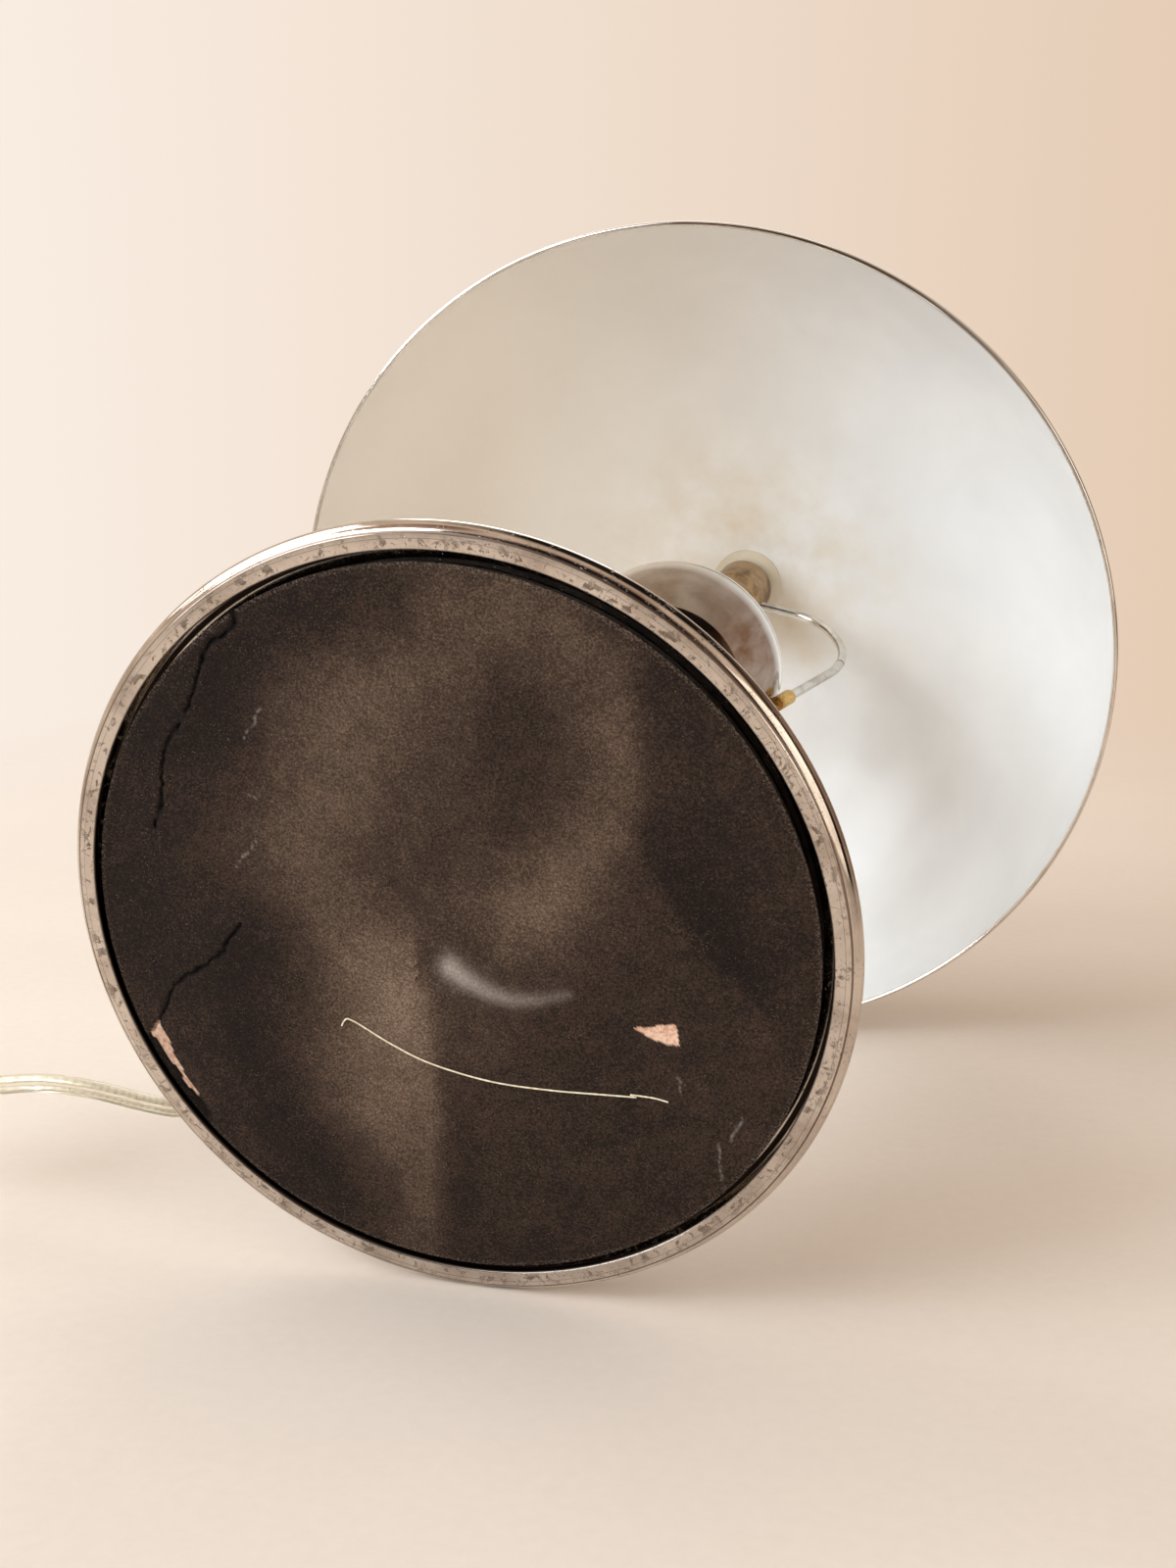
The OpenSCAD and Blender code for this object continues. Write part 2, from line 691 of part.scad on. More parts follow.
module cord_lead() {
    color("khaki") swept(lead_route, 8, first = [-1, 0, 0], last = [0, -1, 0]);
}

module cord_tail() {
    color("khaki") swept(tail_route, 8, first = [0, -1, 0], last = [0, -1, 0]);
}

// The coil after s turns: it spirals in and out by turns, and climbs while it reverses
function coil_layer(s) = floor(s / coil_turns);
function coil_r(s) = let (k = min(coil_layer(s), layers - 1), f = s - k * coil_turns)
    k % 2 == 0 ? coil_out_r - f * coil_pitch : coil_in_r + f * coil_pitch;
function coil_climb(s) = [for (k = [1:layers - 1]) min(max(2 * (s - k * coil_turns) + 0.5, 0), 1)];
function sum(v, i = 0) = i == len(v) ? 0 : v[i] + sum(v, i + 1);
function coil_at(s) = let (p = spin(coil_r(s), 180 + 360 * s, coil_z
                                    + layer_pitch * sum(coil_climb(s))))
    [coil_c[0] + p[0], coil_c[1] + p[1], p[2]];
coil_steps = layers * coil_turns * rings_a_turn;
coil_start = coil_at(0);
coil_end = coil_at(layers * coil_turns);
coil_points = concat([coil_start + [0, cord_w, 0]],
                     [for (i = [0:coil_steps]) coil_at(i / rings_a_turn)],
                     [coil_end - [0, cord_w, 0]]);

// Least gap between any two turns, measured where they lie side by side
function turn_gap(a, b) = let (ra = norm([a[0] - coil_c[0], a[1] - coil_c[1]]),
                               rb = norm([b[0] - coil_c[0], b[1] - coil_c[1]]),
                               flat = cord_w - cord_t)
    norm([max(abs(ra - rb) - flat, 0), a[2] - b[2]]) - cord_t;
coil_gap = min([for (i = [0:coil_steps - rings_a_turn],
                     j = [i + rings_a_turn:rings_a_turn:coil_steps])
                turn_gap(coil_at(i / rings_a_turn), coil_at(j / rings_a_turn))]);
echo(coil_gap = coil_gap);

module cord_coil() {
    color("khaki") swept(coil_points, 6, first = [0, -1, 0], last = [0, -1, 0]);
}

// Strap round the turns, on the side away from the lead
module coil_tie() {
    inner = coil_in_r - cord_w / 2 - 0.6;
    outer = coil_out_r + cord_w / 2 + 0.6;
    low = coil_z - cord_t / 2 - 0.12;
    high = coil_z + (layers - 1) * layer_pitch + cord_t / 2 + 0.3;
    color("white") translate([coil_c[0], coil_c[1] + tie_w / 2, 0]) rotate([90, 0, 0])
        linear_extrude(tie_w) difference() {
            translate([inner - tie_wall, low - tie_wall])
                square([outer - inner + 2 * tie_wall, high - low + 2 * tie_wall]);
            translate([inner, low]) square([outer - inner, high - low]);
        }
}

// In-line switch

module at_switch() translate([switch_c[0], switch_c[1], 0]) children();

module at_screws(z) {
    for (s = [-1, 1]) translate([s * (switch_l / 2 - 6), -s * 6.5, z]) children();
}

module switch_bottom() {
    color("ivory") at_switch() difference() {
        union() {
            slab(switch_l, switch_w, 6, split_z - hair);
            for (s = [0, 180]) rotate([0, 0, s]) translate([switch_l / 2 - 2, -5, 1.5])
                cube([nozzle_l + 2, 10, split_z - 1.5 - hair]);
        }
        translate([0, 0, 2]) slab(switch_l - 5, switch_w - 5, 4, split_z);
        at_screws(-1) {
            cylinder(r = 1.5, h = 5);
            cylinder(r = 2.7, h = 2.2);
        }
        translate([-switch_l, 0, entry_z]) cord_slot(2 * switch_l);
    }
}

module switch_top() {
    color("ivory") at_switch() difference() {
        union() {
            translate([0, 0, split_z]) slab(switch_l, switch_w, 6, switch_h - split_z - 1.6);
            translate([0, 0, switch_h - 1.6]) slab(switch_l - 2.4, switch_w - 2.4, 5, 1.6);
        }
        translate([0, 0, split_z - 1]) slab(switch_l - 5, switch_w - 5, 4, switch_h - split_z - 1);
        translate([-rocker_l / 2 - gap, -rocker_w / 2 - gap, split_z])
            cube([rocker_l + 2 * gap, rocker_w + 2 * gap, switch_h]);
    }
    color("ivory") at_switch() {
        at_screws(split_z) ring(3, 1.2 + hair, switch_h - split_z - 2);
        for (s = [0, 180]) rotate([0, 0, s]) translate([0, rocker_w / 2 + gap, pivot_z])
            rotate([-90, 0, 0]) ring(pivot_r + 1.4, pivot_r + fit, 1.6);
    }
}

// Rocker: two shallow faces that meet in a valley over its pivot, tipped to its off side
module switch_rocker() {
    half = rocker_l / 2;
    face = curve([half - 0.3, 4.6], [half * 0.4, 3], [0, 2.9], 6);
    color("white") at_switch() translate([0, 0, pivot_z]) rotate([0, -rock_deg, 0]) {
        rotate([90, 0, 0]) linear_extrude(rocker_w, center = true) polygon(concat(
            [[-half, 0.4], [-half + 3, -2.2], [-2, -3], [2, -3], [half - 3, -2.2], [half, 0.4]],
            face, [for (i = [5:-1:0]) [-face[i][0], face[i][1]]]));
        rotate([90, 0, 0]) cylinder(r = pivot_r, h = rocker_w + 3, center = true);
    }
}

// Brass strips in the bottom half, one for each core
module switch_contacts() {
    color("gold") at_switch() for (y = [-1, 1]) translate([-12, y * 4 - 1.5, 2]) {
        cube([24, 3, 0.8]);
        for (x = [1, 19]) translate([x, 0, 0]) cube([4, 3, 2]);
    }
}

module switch_screws() {
    color("silver") at_switch() at_screws(0.2) {
        cylinder(r = 2.5, h = 1);
        cylinder(r = 1.2, h = switch_h - 5);
    }
}

// Flat two-pin plug, lying on its side

module plug_body() {
    wide = plug_pitch + 2 * plug_pin_r + 2.6;
    neck = 9;
    outline = concat([[-neck / 2, 0], [neck / 2, 0], [neck / 2 + 0.6, 6]],
                     curve([neck / 2 + 1.4, 10], [wide / 2, 14], [wide / 2, plug_l - 6], 6),
                     [[wide / 2, plug_l - 1], [wide / 2 - 1, plug_l]]);
    left = [for (p = reversed(outline)) if (p[1] > 0) [-p[0], p[1]]];
    color("ivory") translate([lead_x, plug_y, 0]) rotate([0, 0, 180]) difference() {
        intersection() {
            linear_extrude(plug_t) polygon(concat(outline, left));
            translate([0, 0, plug_t / 2]) rotate([90, 0, 90])
                linear_extrude(2 * wide, center = true) polygon([
                    [0, -4], [10, -5.4], [16, -plug_t / 2], [plug_l - 1, -plug_t / 2],
                    [plug_l, -plug_t / 2 + 1], [plug_l, plug_t / 2 - 1],
                    [plug_l - 1, plug_t / 2], [16, plug_t / 2], [10, 5.4], [0, 4]]);
        }
        for (s = [-1, 1]) translate([s * plug_pitch / 2, plug_l - pin_in, plug_t / 2])
            rotate([-90, 0, 0]) cylinder(r = pin_core_r + hair, h = 20);
    }
}

// Ribbed sleeve that tapers from the plug along the cord
module plug_relief() {
    ribs = 5;
    step = relief_l / ribs;
    wide = 4.4;
    fall = (wide - relief_end_r) / ribs;
    color("ivory") translate([lead_x, plug_y, plug_t / 2]) rotate([0, 0, 90]) difference() {
        rotate([0, 90, 0]) rotate_extrude() polygon(concat([[0, 0]],
            [for (i = [0:ribs - 1]) let (r = wide - i * fall, z = i * step)
             for (q = [[r, z], [r, z + step - 1.3], [r - fall - 0.1, z + step - 1],
                       [r - fall - 0.1, z + step]]) q],
            [[0, relief_l]]));
        translate([-1, 0, 0]) cord_slot(relief_l + 2);
    }
}

module at_pins() {
    translate([lead_x, plug_y, 0]) rotate([0, 0, 180])
        for (s = [-1, 1]) translate([s * plug_pitch / 2, plug_l, plug_t / 2])
            rotate([-90, 0, 0]) children();
}

// Each pin is thin inside the plug and its sleeve, and has its full size at its end
module plug_pins() {
    color("silver") at_pins() {
        translate([0, 0, -pin_in]) cylinder(r = pin_core_r, h = pin_in + pin_sleeve_l + 1);
        translate([0, 0, pin_sleeve_l]) cylinder(r = plug_pin_r, h = pin_l - pin_sleeve_l - 1);
        translate([0, 0, pin_l - 1]) cylinder(r1 = plug_pin_r, r2 = plug_pin_r - 0.8, h = 1);
    }
}

module pin_sleeves() {
    color("ivory") at_pins() ring(plug_pin_r, pin_core_r + hair, pin_sleeve_l - hair);
}

base_shell();
base_weight();
base_pad();
rod_washer();
rod_nut();
threaded_rod();
base_collar();
stem_tube();
cup_collar();
cup();
holder_nut();
holder_base();
holder_insert();
holder_sleeve();
screw_shell();
centre_contact();
terminal_screws();
bulb_cap();
bulb_glass();
bulb_contact();
harp_arm_right();
harp_arm_left();
harp_ferrules();
swivel_hub();
swivel_seat();
swivel_cap();
ball_stud();
shade_seat();
shade();
shade_washer();
knob();
cord_bush();
inner_flex();
cord_run();
switch_bottom();
switch_top();
switch_rocker();
switch_contacts();
switch_screws();
cord_lead();
cord_coil();
coil_tie();
cord_tail();
plug_relief();
plug_body();
plug_pins();
pin_sleeves();
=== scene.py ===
from math import acos, atan2, copysign, cos, degrees, exp, hypot, pi, radians, sin

import bmesh
import bpy
from mathutils import Matrix, Vector, noise


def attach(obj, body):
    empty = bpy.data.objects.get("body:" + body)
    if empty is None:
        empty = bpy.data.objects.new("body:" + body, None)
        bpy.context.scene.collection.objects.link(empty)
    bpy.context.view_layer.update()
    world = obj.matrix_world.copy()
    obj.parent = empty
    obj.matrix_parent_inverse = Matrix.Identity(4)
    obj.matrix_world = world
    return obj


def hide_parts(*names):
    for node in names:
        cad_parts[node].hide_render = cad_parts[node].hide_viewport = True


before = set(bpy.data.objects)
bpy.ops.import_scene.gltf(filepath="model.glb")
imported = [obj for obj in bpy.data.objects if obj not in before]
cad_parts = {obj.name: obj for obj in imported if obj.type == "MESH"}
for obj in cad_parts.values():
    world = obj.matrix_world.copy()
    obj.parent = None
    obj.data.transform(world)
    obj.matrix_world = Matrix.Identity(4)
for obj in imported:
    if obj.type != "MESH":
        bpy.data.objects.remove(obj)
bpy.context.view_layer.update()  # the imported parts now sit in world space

scene = bpy.context.scene


def placed(name, data, matrix=None):
    thing = bpy.data.objects.new(name, data)
    if matrix:
        thing.matrix_world = matrix
    scene.collection.objects.link(thing)
    return thing


# Camera: it looks up into the lamp, which lies on its side on a table

camera = {
    "place": (0.1135, -0.2148, -0.3819),
    "right": (0.9437, -0.1647, 0.2871),
    "down": (0.2612, 0.9034, -0.3402),
    "forward": (-0.2033, 0.3960, 0.8955),
    "lens": 60.0,
    "sensor": 36.0,
}


def addCamera(facts):
    data = bpy.data.cameras.new("photoCamera")
    data.lens = facts["lens"]
    data.sensor_width = facts["sensor"]
    data.sensor_fit = "HORIZONTAL"
    data.clip_start = 0.01
    right, down, forward = (Vector(facts[k]) for k in ("right", "down", "forward"))
    turn = Matrix((right, -down, -forward)).transposed()
    scene.camera = placed("photoCamera", data,
                          Matrix.Translation(facts["place"]) @ turn.to_4x4())


addCamera(camera)
print("camera placed")

# Shapes: outlines are lists of (radius, height), lines are lists of points, all in metres


def arc(centre, radius, start, end, steps):
    turns = [radians(start + (end - start) * i / steps) for i in range(steps + 1)]
    return [(centre[0] + radius * cos(a), centre[1] + radius * sin(a)) for a in turns]


def bent(a, corner, b, steps):
    out = []
    for i in range(steps + 1):
        t = i / steps
        out.append(tuple((1 - t) ** 2 * p + 2 * t * (1 - t) * q + t * t * r
                         for p, q, r in zip(a, corner, b)))
    return out


def inset(outline, depth):
    out = []
    for i, (r, z) in enumerate(outline):
        a = outline[max(i - 1, 0)]
        b = outline[min(i + 1, len(outline) - 1)]
        run, rise = b[0] - a[0], b[1] - a[1]
        size = hypot(run, rise)
        out.append((r - depth * rise / size, z + depth * run / size))
    return out


def smoothLine(points, step=0.002):
    # a curve through the points, with a point about every step
    pts = [Vector(p) for p in points]
    out = []
    for i in range(len(pts) - 1):
        a, b = pts[i], pts[i + 1]
        before = pts[i - 1] if i else a * 2 - b
        after = pts[i + 2] if i + 2 < len(pts) else b * 2 - a
        count = max(1, round((b - a).length / step))
        for k in range(count):
            t = k / count
            out.append(0.5 * (2 * a + (b - before) * t
                              + (2 * before - 5 * a + 4 * b - after) * t * t
                              + (3 * a - before - 3 * b + after) * t ** 3))
    return out + [pts[-1]]


def wayLong(points):
    return sum((b - a).length for a, b in zip(points, points[1:]))


# Pieces: each takes its look's material, hangs from its body and hides the CAD parts that it
# stands for; the slot that slots or its look's name gives is worked out but not kept

mergeReach = 2e-6
slots = {"clearSheath": "cord_plastic", "strands": "cord_plastic", "darkBrass": "tarnished_brass",
         "seatPaint": "steel_fixings", "whiteEnamel": "shade_chrome", "thread": "pad_board"}


def snake(name):
    return "".join("_" + c.lower() if c.isupper() else c for c in name)


def addPiece(name, mesh, look, nodes=(), body="lamp", slot=None):
    piece = placed(name, mesh)
    mesh.materials.clear()
    mesh.materials.append(looks[look])
    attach(piece, body)
    if nodes:
        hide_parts(*nodes)
    slot or slots.get(look, snake(look))
    return piece


def meshOf(name, made):
    mesh = bpy.data.meshes.new(name)
    made.to_mesh(mesh)
    made.free()
    return mesh


def meshFrom(name, made, angle=35):
    bmesh.ops.remove_doubles(made, verts=made.verts, dist=mergeReach)
    bmesh.ops.recalc_face_normals(made, faces=made.faces)
    mesh = meshOf(name, made)
    mesh.polygons.foreach_set("use_smooth", [True] * len(mesh.polygons))
    mesh.set_sharp_from_angle(angle=radians(angle))
    mesh.update()
    return mesh


def turned(name, outline, look, node, turns=144, angle=35, **more):
    # a closed outline turned once round the lamp's axis
    made = bmesh.new()
    rings = []
    for k in range(turns):
        a = 2 * pi * k / turns
        rings.append([made.verts.new((r * cos(a), r * sin(a), z)) for r, z in outline])
    count = len(outline)
    for k in range(turns):
        one, two = rings[k], rings[(k + 1) % turns]
        for i in range(count):
            j = (i + 1) % count
            if max(outline[i][0], outline[j][0]) > 1e-6:
                made.faces.new((one[i], two[i], two[j], one[j]))
    return addPiece(name, meshFrom(name, made, angle), look, [node], **more)


def dressed(name, look, bevel=0.0003, angle=35, **more):
    # the CAD part of this name, its triangles joined, its edges rounded, its round faces smooth
    node = snake(name)
    made = bmesh.new()
    made.from_mesh(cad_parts[node].data)
    bmesh.ops.remove_doubles(made, verts=made.verts, dist=mergeReach)
    bmesh.ops.dissolve_degenerate(made, edges=made.edges, dist=1e-6)
    piece = addPiece(name, meshFrom(name, made, angle), look, [node], **more)
    if bevel:
        edge = piece.modifiers.new("roundedEdges", "BEVEL")
        edge.width = bevel
        edge.segments = 2
        edge.limit_method = "ANGLE"
        edge.angle_limit = radians(angle)
        edge.use_clamp_overlap = True
        edge.harden_normals = True
    return piece


# Nodes: colours are red, green and blue as shown on screen, from 0 to 255


def linear(colour):
    return [c / 12.92 if c <= 0.04045 else ((c + 0.055) / 1.055) ** 2.4
            for c in (part / 255 for part in colour)]


class Nodes:
    # a node tree, filled in short steps that each give a node's output
    def __init__(self, tree):
        self.tree = tree

    def add(self, kind, **settings):
        node = self.tree.nodes.new(kind)
        for label, value in settings.items():
            setattr(node, label, value)
        return node

    def feed(self, socket, value):
        if isinstance(value, bpy.types.NodeSocket):
            self.tree.links.new(value, socket)
        elif socket.type == "RGBA":
            socket.default_value = (*linear(value), 1)
        else:
            socket.default_value = value

    def put(self, kind, inputs=(), out=0, **settings):
        node = self.add(kind, **settings)
        for key, value in dict(inputs).items():
            self.feed(node.inputs[key], value)
        return node.outputs[out]

    def math(self, kind, *values):
        return self.put("ShaderNodeMath", enumerate(values), operation=kind)

    def times(self, a, b):
        return self.math("MULTIPLY", a, b)

    def most(self, a, b):
        return self.math("MAXIMUM", a, b)

    def part(self, vector, axis):
        return self.put("ShaderNodeSeparateXYZ", {0: vector}, "XYZ".index(axis))

    def along(self, vector, way):
        return self.put("ShaderNodeVectorMath", {0: vector, 1: way}, "Value",
                        operation="DOT_PRODUCT")

    def noise(self, scale, detail=4.0, rough=0.55, distort=0.0, where=None):
        return self.put("ShaderNodeTexNoise", {
            "Vector": where or self.mapped(), "Scale": scale, "Detail": detail,
            "Roughness": rough, "Distortion": distort})

    def ramp(self, value, *stops, way="EASE"):
        # stops are (place, colour)
        node = self.add("ShaderNodeValToRGB")
        band = node.color_ramp
        band.interpolation = way
        while len(band.elements) < len(stops):
            band.elements.new(0.5)
        for element, (at, colour) in zip(band.elements, stops):
            element.position = at
            element.color = (*linear(colour), 1)
        self.feed(node.inputs[0], value)
        return node.outputs[0]

    def spread(self, value, low, high, fromLow=0.3, fromHigh=0.7):
        return self.put("ShaderNodeMapRange", enumerate((value, fromLow, fromHigh, low, high)))

    def mix(self, share, a, b):
        return self.put("ShaderNodeMix", {0: share, 6: a, 7: b}, 2, data_type="RGBA")


# Geometry Nodes: each tree takes named inputs and ends in plain geometry that has its material


def nodeTree(name, inputs):
    tree = bpy.data.node_groups.new(name, "GeometryNodeTree")
    add = tree.interface.new_socket
    add("Geometry", in_out="INPUT", socket_type="NodeSocketGeometry")
    for label, value in inputs.items():
        kind = "NodeSocketInt" if isinstance(value, int) else "NodeSocketFloat"
        add(label, in_out="INPUT", socket_type=kind).default_value = value
    add("Material", in_out="INPUT", socket_type="NodeSocketMaterial")
    add("Geometry", in_out="OUTPUT", socket_type="NodeSocketGeometry")
    nodes = Nodes(tree)
    return nodes, nodes.add("NodeGroupInput").outputs


def endTree(nodes, given, geometry):
    real = nodes.put("GeometryNodeRealizeInstances", {0: geometry})
    paint = nodes.put("GeometryNodeSetMaterial", {"Geometry": real, "Material": given["Material"]})
    nodes.feed(nodes.add("NodeGroupOutput").inputs[0], paint)
    return nodes.tree


def sweepTree():
    # a line with a section that is round, oval or waisted like a flat twin cord
    nodes, given = nodeTree("sweptLine", {"Width": 0.003, "Thickness": 0.003, "Waist": 1.0,
                                          "Swell": 0.0, "Sides": 24})
    times = nodes.times
    circle = nodes.put("GeometryNodeCurvePrimitiveCircle",
                       {"Radius": 1, "Resolution": given["Sides"]})
    place = nodes.put("GeometryNodeInputPosition")
    x, y = nodes.part(place, "X"), nodes.part(place, "Y")
    swell = nodes.math("MULTIPLY_ADD", times(x, x), given["Swell"], given["Waist"])
    wide = times(times(x, given["Width"]), 0.5)
    high = times(times(times(y, swell), given["Thickness"]), 0.5)
    section = nodes.put("GeometryNodeSetPosition", {
        "Geometry": circle, "Position": nodes.put("ShaderNodeCombineXYZ", {0: wide, 1: high})})
    level = nodes.put("GeometryNodeSetCurveNormal", {"Curve": given["Geometry"]}, mode="Z_UP")
    tube = nodes.put("GeometryNodeCurveToMesh",
                     {"Curve": level, "Profile Curve": section, "Fill Caps": True})
    return endTree(nodes, given, tube)


def domeTree():
    # a spun sheet: a quarter of an ellipse from its rim to a flat crown with a hole
    nodes, given = nodeTree("spunDome", {
        "Rim Radius": 0.1, "Rise": 0.1, "Rim Height": 0.0, "Crown Radius": 0.01,
        "Hole Radius": 0.003, "Wall": 0.001, "Around": 192, "Rows": 60})
    do, times = nodes.math, nodes.times
    domeShare = 0.92  # the rows below it climb the ellipse, the rest cross the crown
    rows = do("MULTIPLY_ADD", given["Rows"], 2, 3)
    grid = nodes.put("GeometryNodeMeshGrid", {"Vertices X": do("ADD", given["Around"], 1),
                                              "Vertices Y": rows})
    index = nodes.put("GeometryNodeInputIndex")
    row = do("MODULO", index, rows)
    column = do("FLOOR", do("DIVIDE", do("ADD", index, 0.5), rows))
    back = do("SUBTRACT", do("MULTIPLY_ADD", given["Rows"], 2, 1), row)
    up = do("DIVIDE", nodes.most(do("MINIMUM", row, back), 0), given["Rows"])
    inside = times(do("GREATER_THAN", row, do("ADD", given["Rows"], 0.5)),
                   do("GREATER_THAN", back, -0.5))
    wall = times(inside, given["Wall"])
    crown = do("ARCCOSINE", do("DIVIDE", given["Crown Radius"], given["Rim Radius"]))
    climb = times(do("MINIMUM", do("DIVIDE", up, domeShare), 1), crown)
    flat = nodes.most(do("DIVIDE", do("SUBTRACT", up, domeShare), 1 - domeShare), 0)
    side = times(do("SUBTRACT", given["Rim Radius"], wall), do("COSINE", climb))
    plate = times(flat, do("SUBTRACT", given["Crown Radius"], given["Hole Radius"]))
    radius = do("SUBTRACT", side, plate)
    height = do("MULTIPLY_ADD", do("SUBTRACT", given["Rise"], wall), do("SINE", climb),
                given["Rim Height"])
    turn = times(do("DIVIDE", column, given["Around"]), 2 * pi)
    place = nodes.put("ShaderNodeCombineXYZ", {0: times(radius, do("COSINE", turn)),
                                               1: times(radius, do("SINE", turn)), 2: height})
    spun = nodes.put("GeometryNodeSetPosition", {"Geometry": grid, "Position": place})
    return endTree(nodes, given, nodes.put("GeometryNodeMergeByDistance", {
        "Geometry": spun, "Distance": mergeReach}))


def grown(name, data, tree, values):
    # what a node tree makes of some data, as a plain mesh
    holder = placed(name, data)
    modifier = holder.modifiers.new("grown", "NODES")
    modifier.node_group = tree
    for item in tree.interface.items_tree:
        if item.in_out == "INPUT" and item.name in values:
            modifier[item.identifier] = values[item.name]
    bpy.context.view_layer.update()
    graph = bpy.context.evaluated_depsgraph_get()
    mesh = bpy.data.meshes.new_from_object(holder.evaluated_get(graph), depsgraph=graph)
    bpy.data.objects.remove(holder)
    made = bmesh.new()
    made.from_mesh(mesh)
    bpy.data.meshes.remove(mesh)
    return meshFrom(name, made, 40)


def lineData(name, points, closed=False):
    data = bpy.data.curves.new(name, "CURVE")
    data.dimensions = "3D"
    spline = data.splines.new("POLY")
    spline.points.add(len(points) - 1)
    for point, place in zip(spline.points, points):
        point.co = (*place, 1)
    spline.use_cyclic_u = closed
    return data


sweep = sweepTree()
dome = domeTree()


def swept(name, points, look, width, thickness=None, waist=1.0, swell=0.0, sides=24,
          closed=False):
    values = {"Width": width, "Thickness": thickness or width, "Waist": waist, "Swell": swell,
              "Sides": sides, "Material": looks[look]}
    return grown(name, lineData(name, points, closed), sweep, values)


# Materials


class Look(Nodes):
    # a procedural material: a surface shader and the nodes that feed it
    def __init__(self, name, **fixed):
        self.material = bpy.data.materials.new(name)
        self.material.use_nodes = True
        super().__init__(self.material.node_tree)
        self.tree.nodes.clear()
        self.output = self.add("ShaderNodeOutputMaterial")
        self.shader = self.add("ShaderNodeBsdfPrincipled")
        for label, value in fixed.items():
            self.shader.inputs[label.replace("_", " ")].default_value = value
        self.feed(self.output.inputs[0], self.shader.outputs[0])
        self.place = self.put("ShaderNodeTexCoord", out="Object")

    def mapped(self, scale=(1, 1, 1), centre=(0, 0, 0)):
        return self.put("ShaderNodeMapping", {
            "Vector": self.place, "Location": [-c * s for c, s in zip(centre, scale)],
            "Scale": scale})

    def cells(self, scale):
        return self.put("ShaderNodeTexVoronoi", {"Vector": self.mapped(), "Scale": scale})

    def radius(self, centre=(0, 0, 0), scale=(1, 1, 0)):
        # how far a point is from an upright axis
        return self.put("ShaderNodeVectorMath", {0: self.mapped(scale, centre)}, "Value",
                        operation="LENGTH")

    def ringRadius(self, centre):
        # how far a point is from a ring round the lamp's axis, given as (radius, height)
        out = self.math("SUBTRACT", self.radius(), centre[0])
        up = self.math("SUBTRACT", self.part(self.place, "Z"), centre[1])
        return self.math("SQRT", self.math("MULTIPLY_ADD", out, out, self.times(up, up)))

    def attribute(self, name):
        return self.put("ShaderNodeAttribute", out="Fac", attribute_name=name)

    def bump(self, value, depth, strength=1.0):
        inputs = {"Strength": strength, "Distance": depth, "Height": value}
        before = self.shader.inputs["Normal"].links
        if before:
            inputs["Normal"] = before[0].from_socket
        self.feed(self.shader.inputs["Normal"], self.put("ShaderNodeBump", inputs))

    def painted(self, colour, rough, *bumps):
        self.feed(self.shader.inputs["Base Color"], colour)
        self.feed(self.shader.inputs["Roughness"], rough)
        for bump in bumps:
            self.bump(*bump)
        return self.material


def pitted(look, tone, rough, pits):
    # the foot's ring: pits and blotches, painted shade as dark lines along its groove, and grime
    # with painted shade along both of its edges
    edge, groove = pits["edge"], pits["groove"]
    hole = look.times(look.spread(look.noise(1700, 5, 0.66, 0.5), 0, 1, 0.6, 0.64),
                      look.spread(look.noise(120, 4, 0.6), 0, 1, 0.47, 0.6))
    away = look.radius()
    flat = look.times(look.spread(away, 0, 1, edge, edge + 0.0012),
                      look.spread(away, 1, 0, groove - 0.0008, groove))
    inner = look.spread(away, 1, 0.35, edge + 0.0012, groove - 0.0006)
    blotch = look.times(look.times(flat, inner),
                        look.spread(look.noise(330, 6, 0.7, 0.6), 0, 1, 0.54, 0.57))
    # painted shade: the inner wall of the opening and the hollow inside the bead are darkened,
    # together with grime
    rim = look.times(look.spread(away, 1, 0, 0.0901, 0.0905),
                     look.spread(away, 0, 1, 0.0888, 0.0890))
    grimeAndShade = look.most(rim, look.spread(look.ringRadius(pits["bead"]), 1, 0, 0.0022, 0.0026))
    # painted shade: a dark line along the groove, and a fainter dark line 1.4 mm inside it
    grooveShade = look.most(look.times(look.math("COMPARE", away, groove, 0.00022), 0.8),
                      look.times(look.math("COMPARE", away, groove - 0.0014, 0.00007), 0.45))
    for share, colour in ((look.times(blotch, 0.85), (104, 86, 72)), (grimeAndShade, (48, 38, 32)),
                          (grooveShade, (92, 72, 60)), (hole, (58, 44, 38))):
        tone = look.mix(share, tone, colour)
    look.bump(hole, -0.00006)
    marks = look.most(look.most(hole, grimeAndShade), look.most(grooveShade, blotch))
    return tone, look.most(rough, look.times(marks, 0.5))


def brownSideAndHighlight(look, tone, facts):
    # brown streaks on the +X side, under a painted highlight: the band round the cup's rim turned
    # near white
    streaks = look.noise(190, 4, 0.6, 0.3, look.mapped((1, 1, 0.25)))
    side = look.spread(look.part(look.place, "X"), 0, 1, *facts["from"])
    brown = look.times(side, look.spread(streaks, 0.4, 1, 0.3, 0.7))
    # painted highlight: the cup's top band is mixed towards near white
    rim = look.spread(look.part(look.place, "Z"), 0, 1, *facts["rim"])
    return look.mix(rim, look.mix(brown, tone, facts["colour"]), (252, 250, 246))


# each kind: metallic, cloud, grain, how much the grain is stretched upwards, the ramp's
# places, the grain's share of the roughness, its depth
chrome = (1.0, (55, 5, 0.6, 0.4), (900, 3, 0.5, 0), 0.08, (0.3, 0.62), 0.35, 0.0000006)
metal = (1.0, (120, 6, 0.62, 0.5), (400, 4, 0.6, 0), 0.3, (0.34, 0.62), 0.5, 0.00001)
plastic = (0.0, (38, 5, 0.6, 0.2), (1500, 3, 0.5, 0), 1, (0.32, 0.6), 0.5, 0.00002)


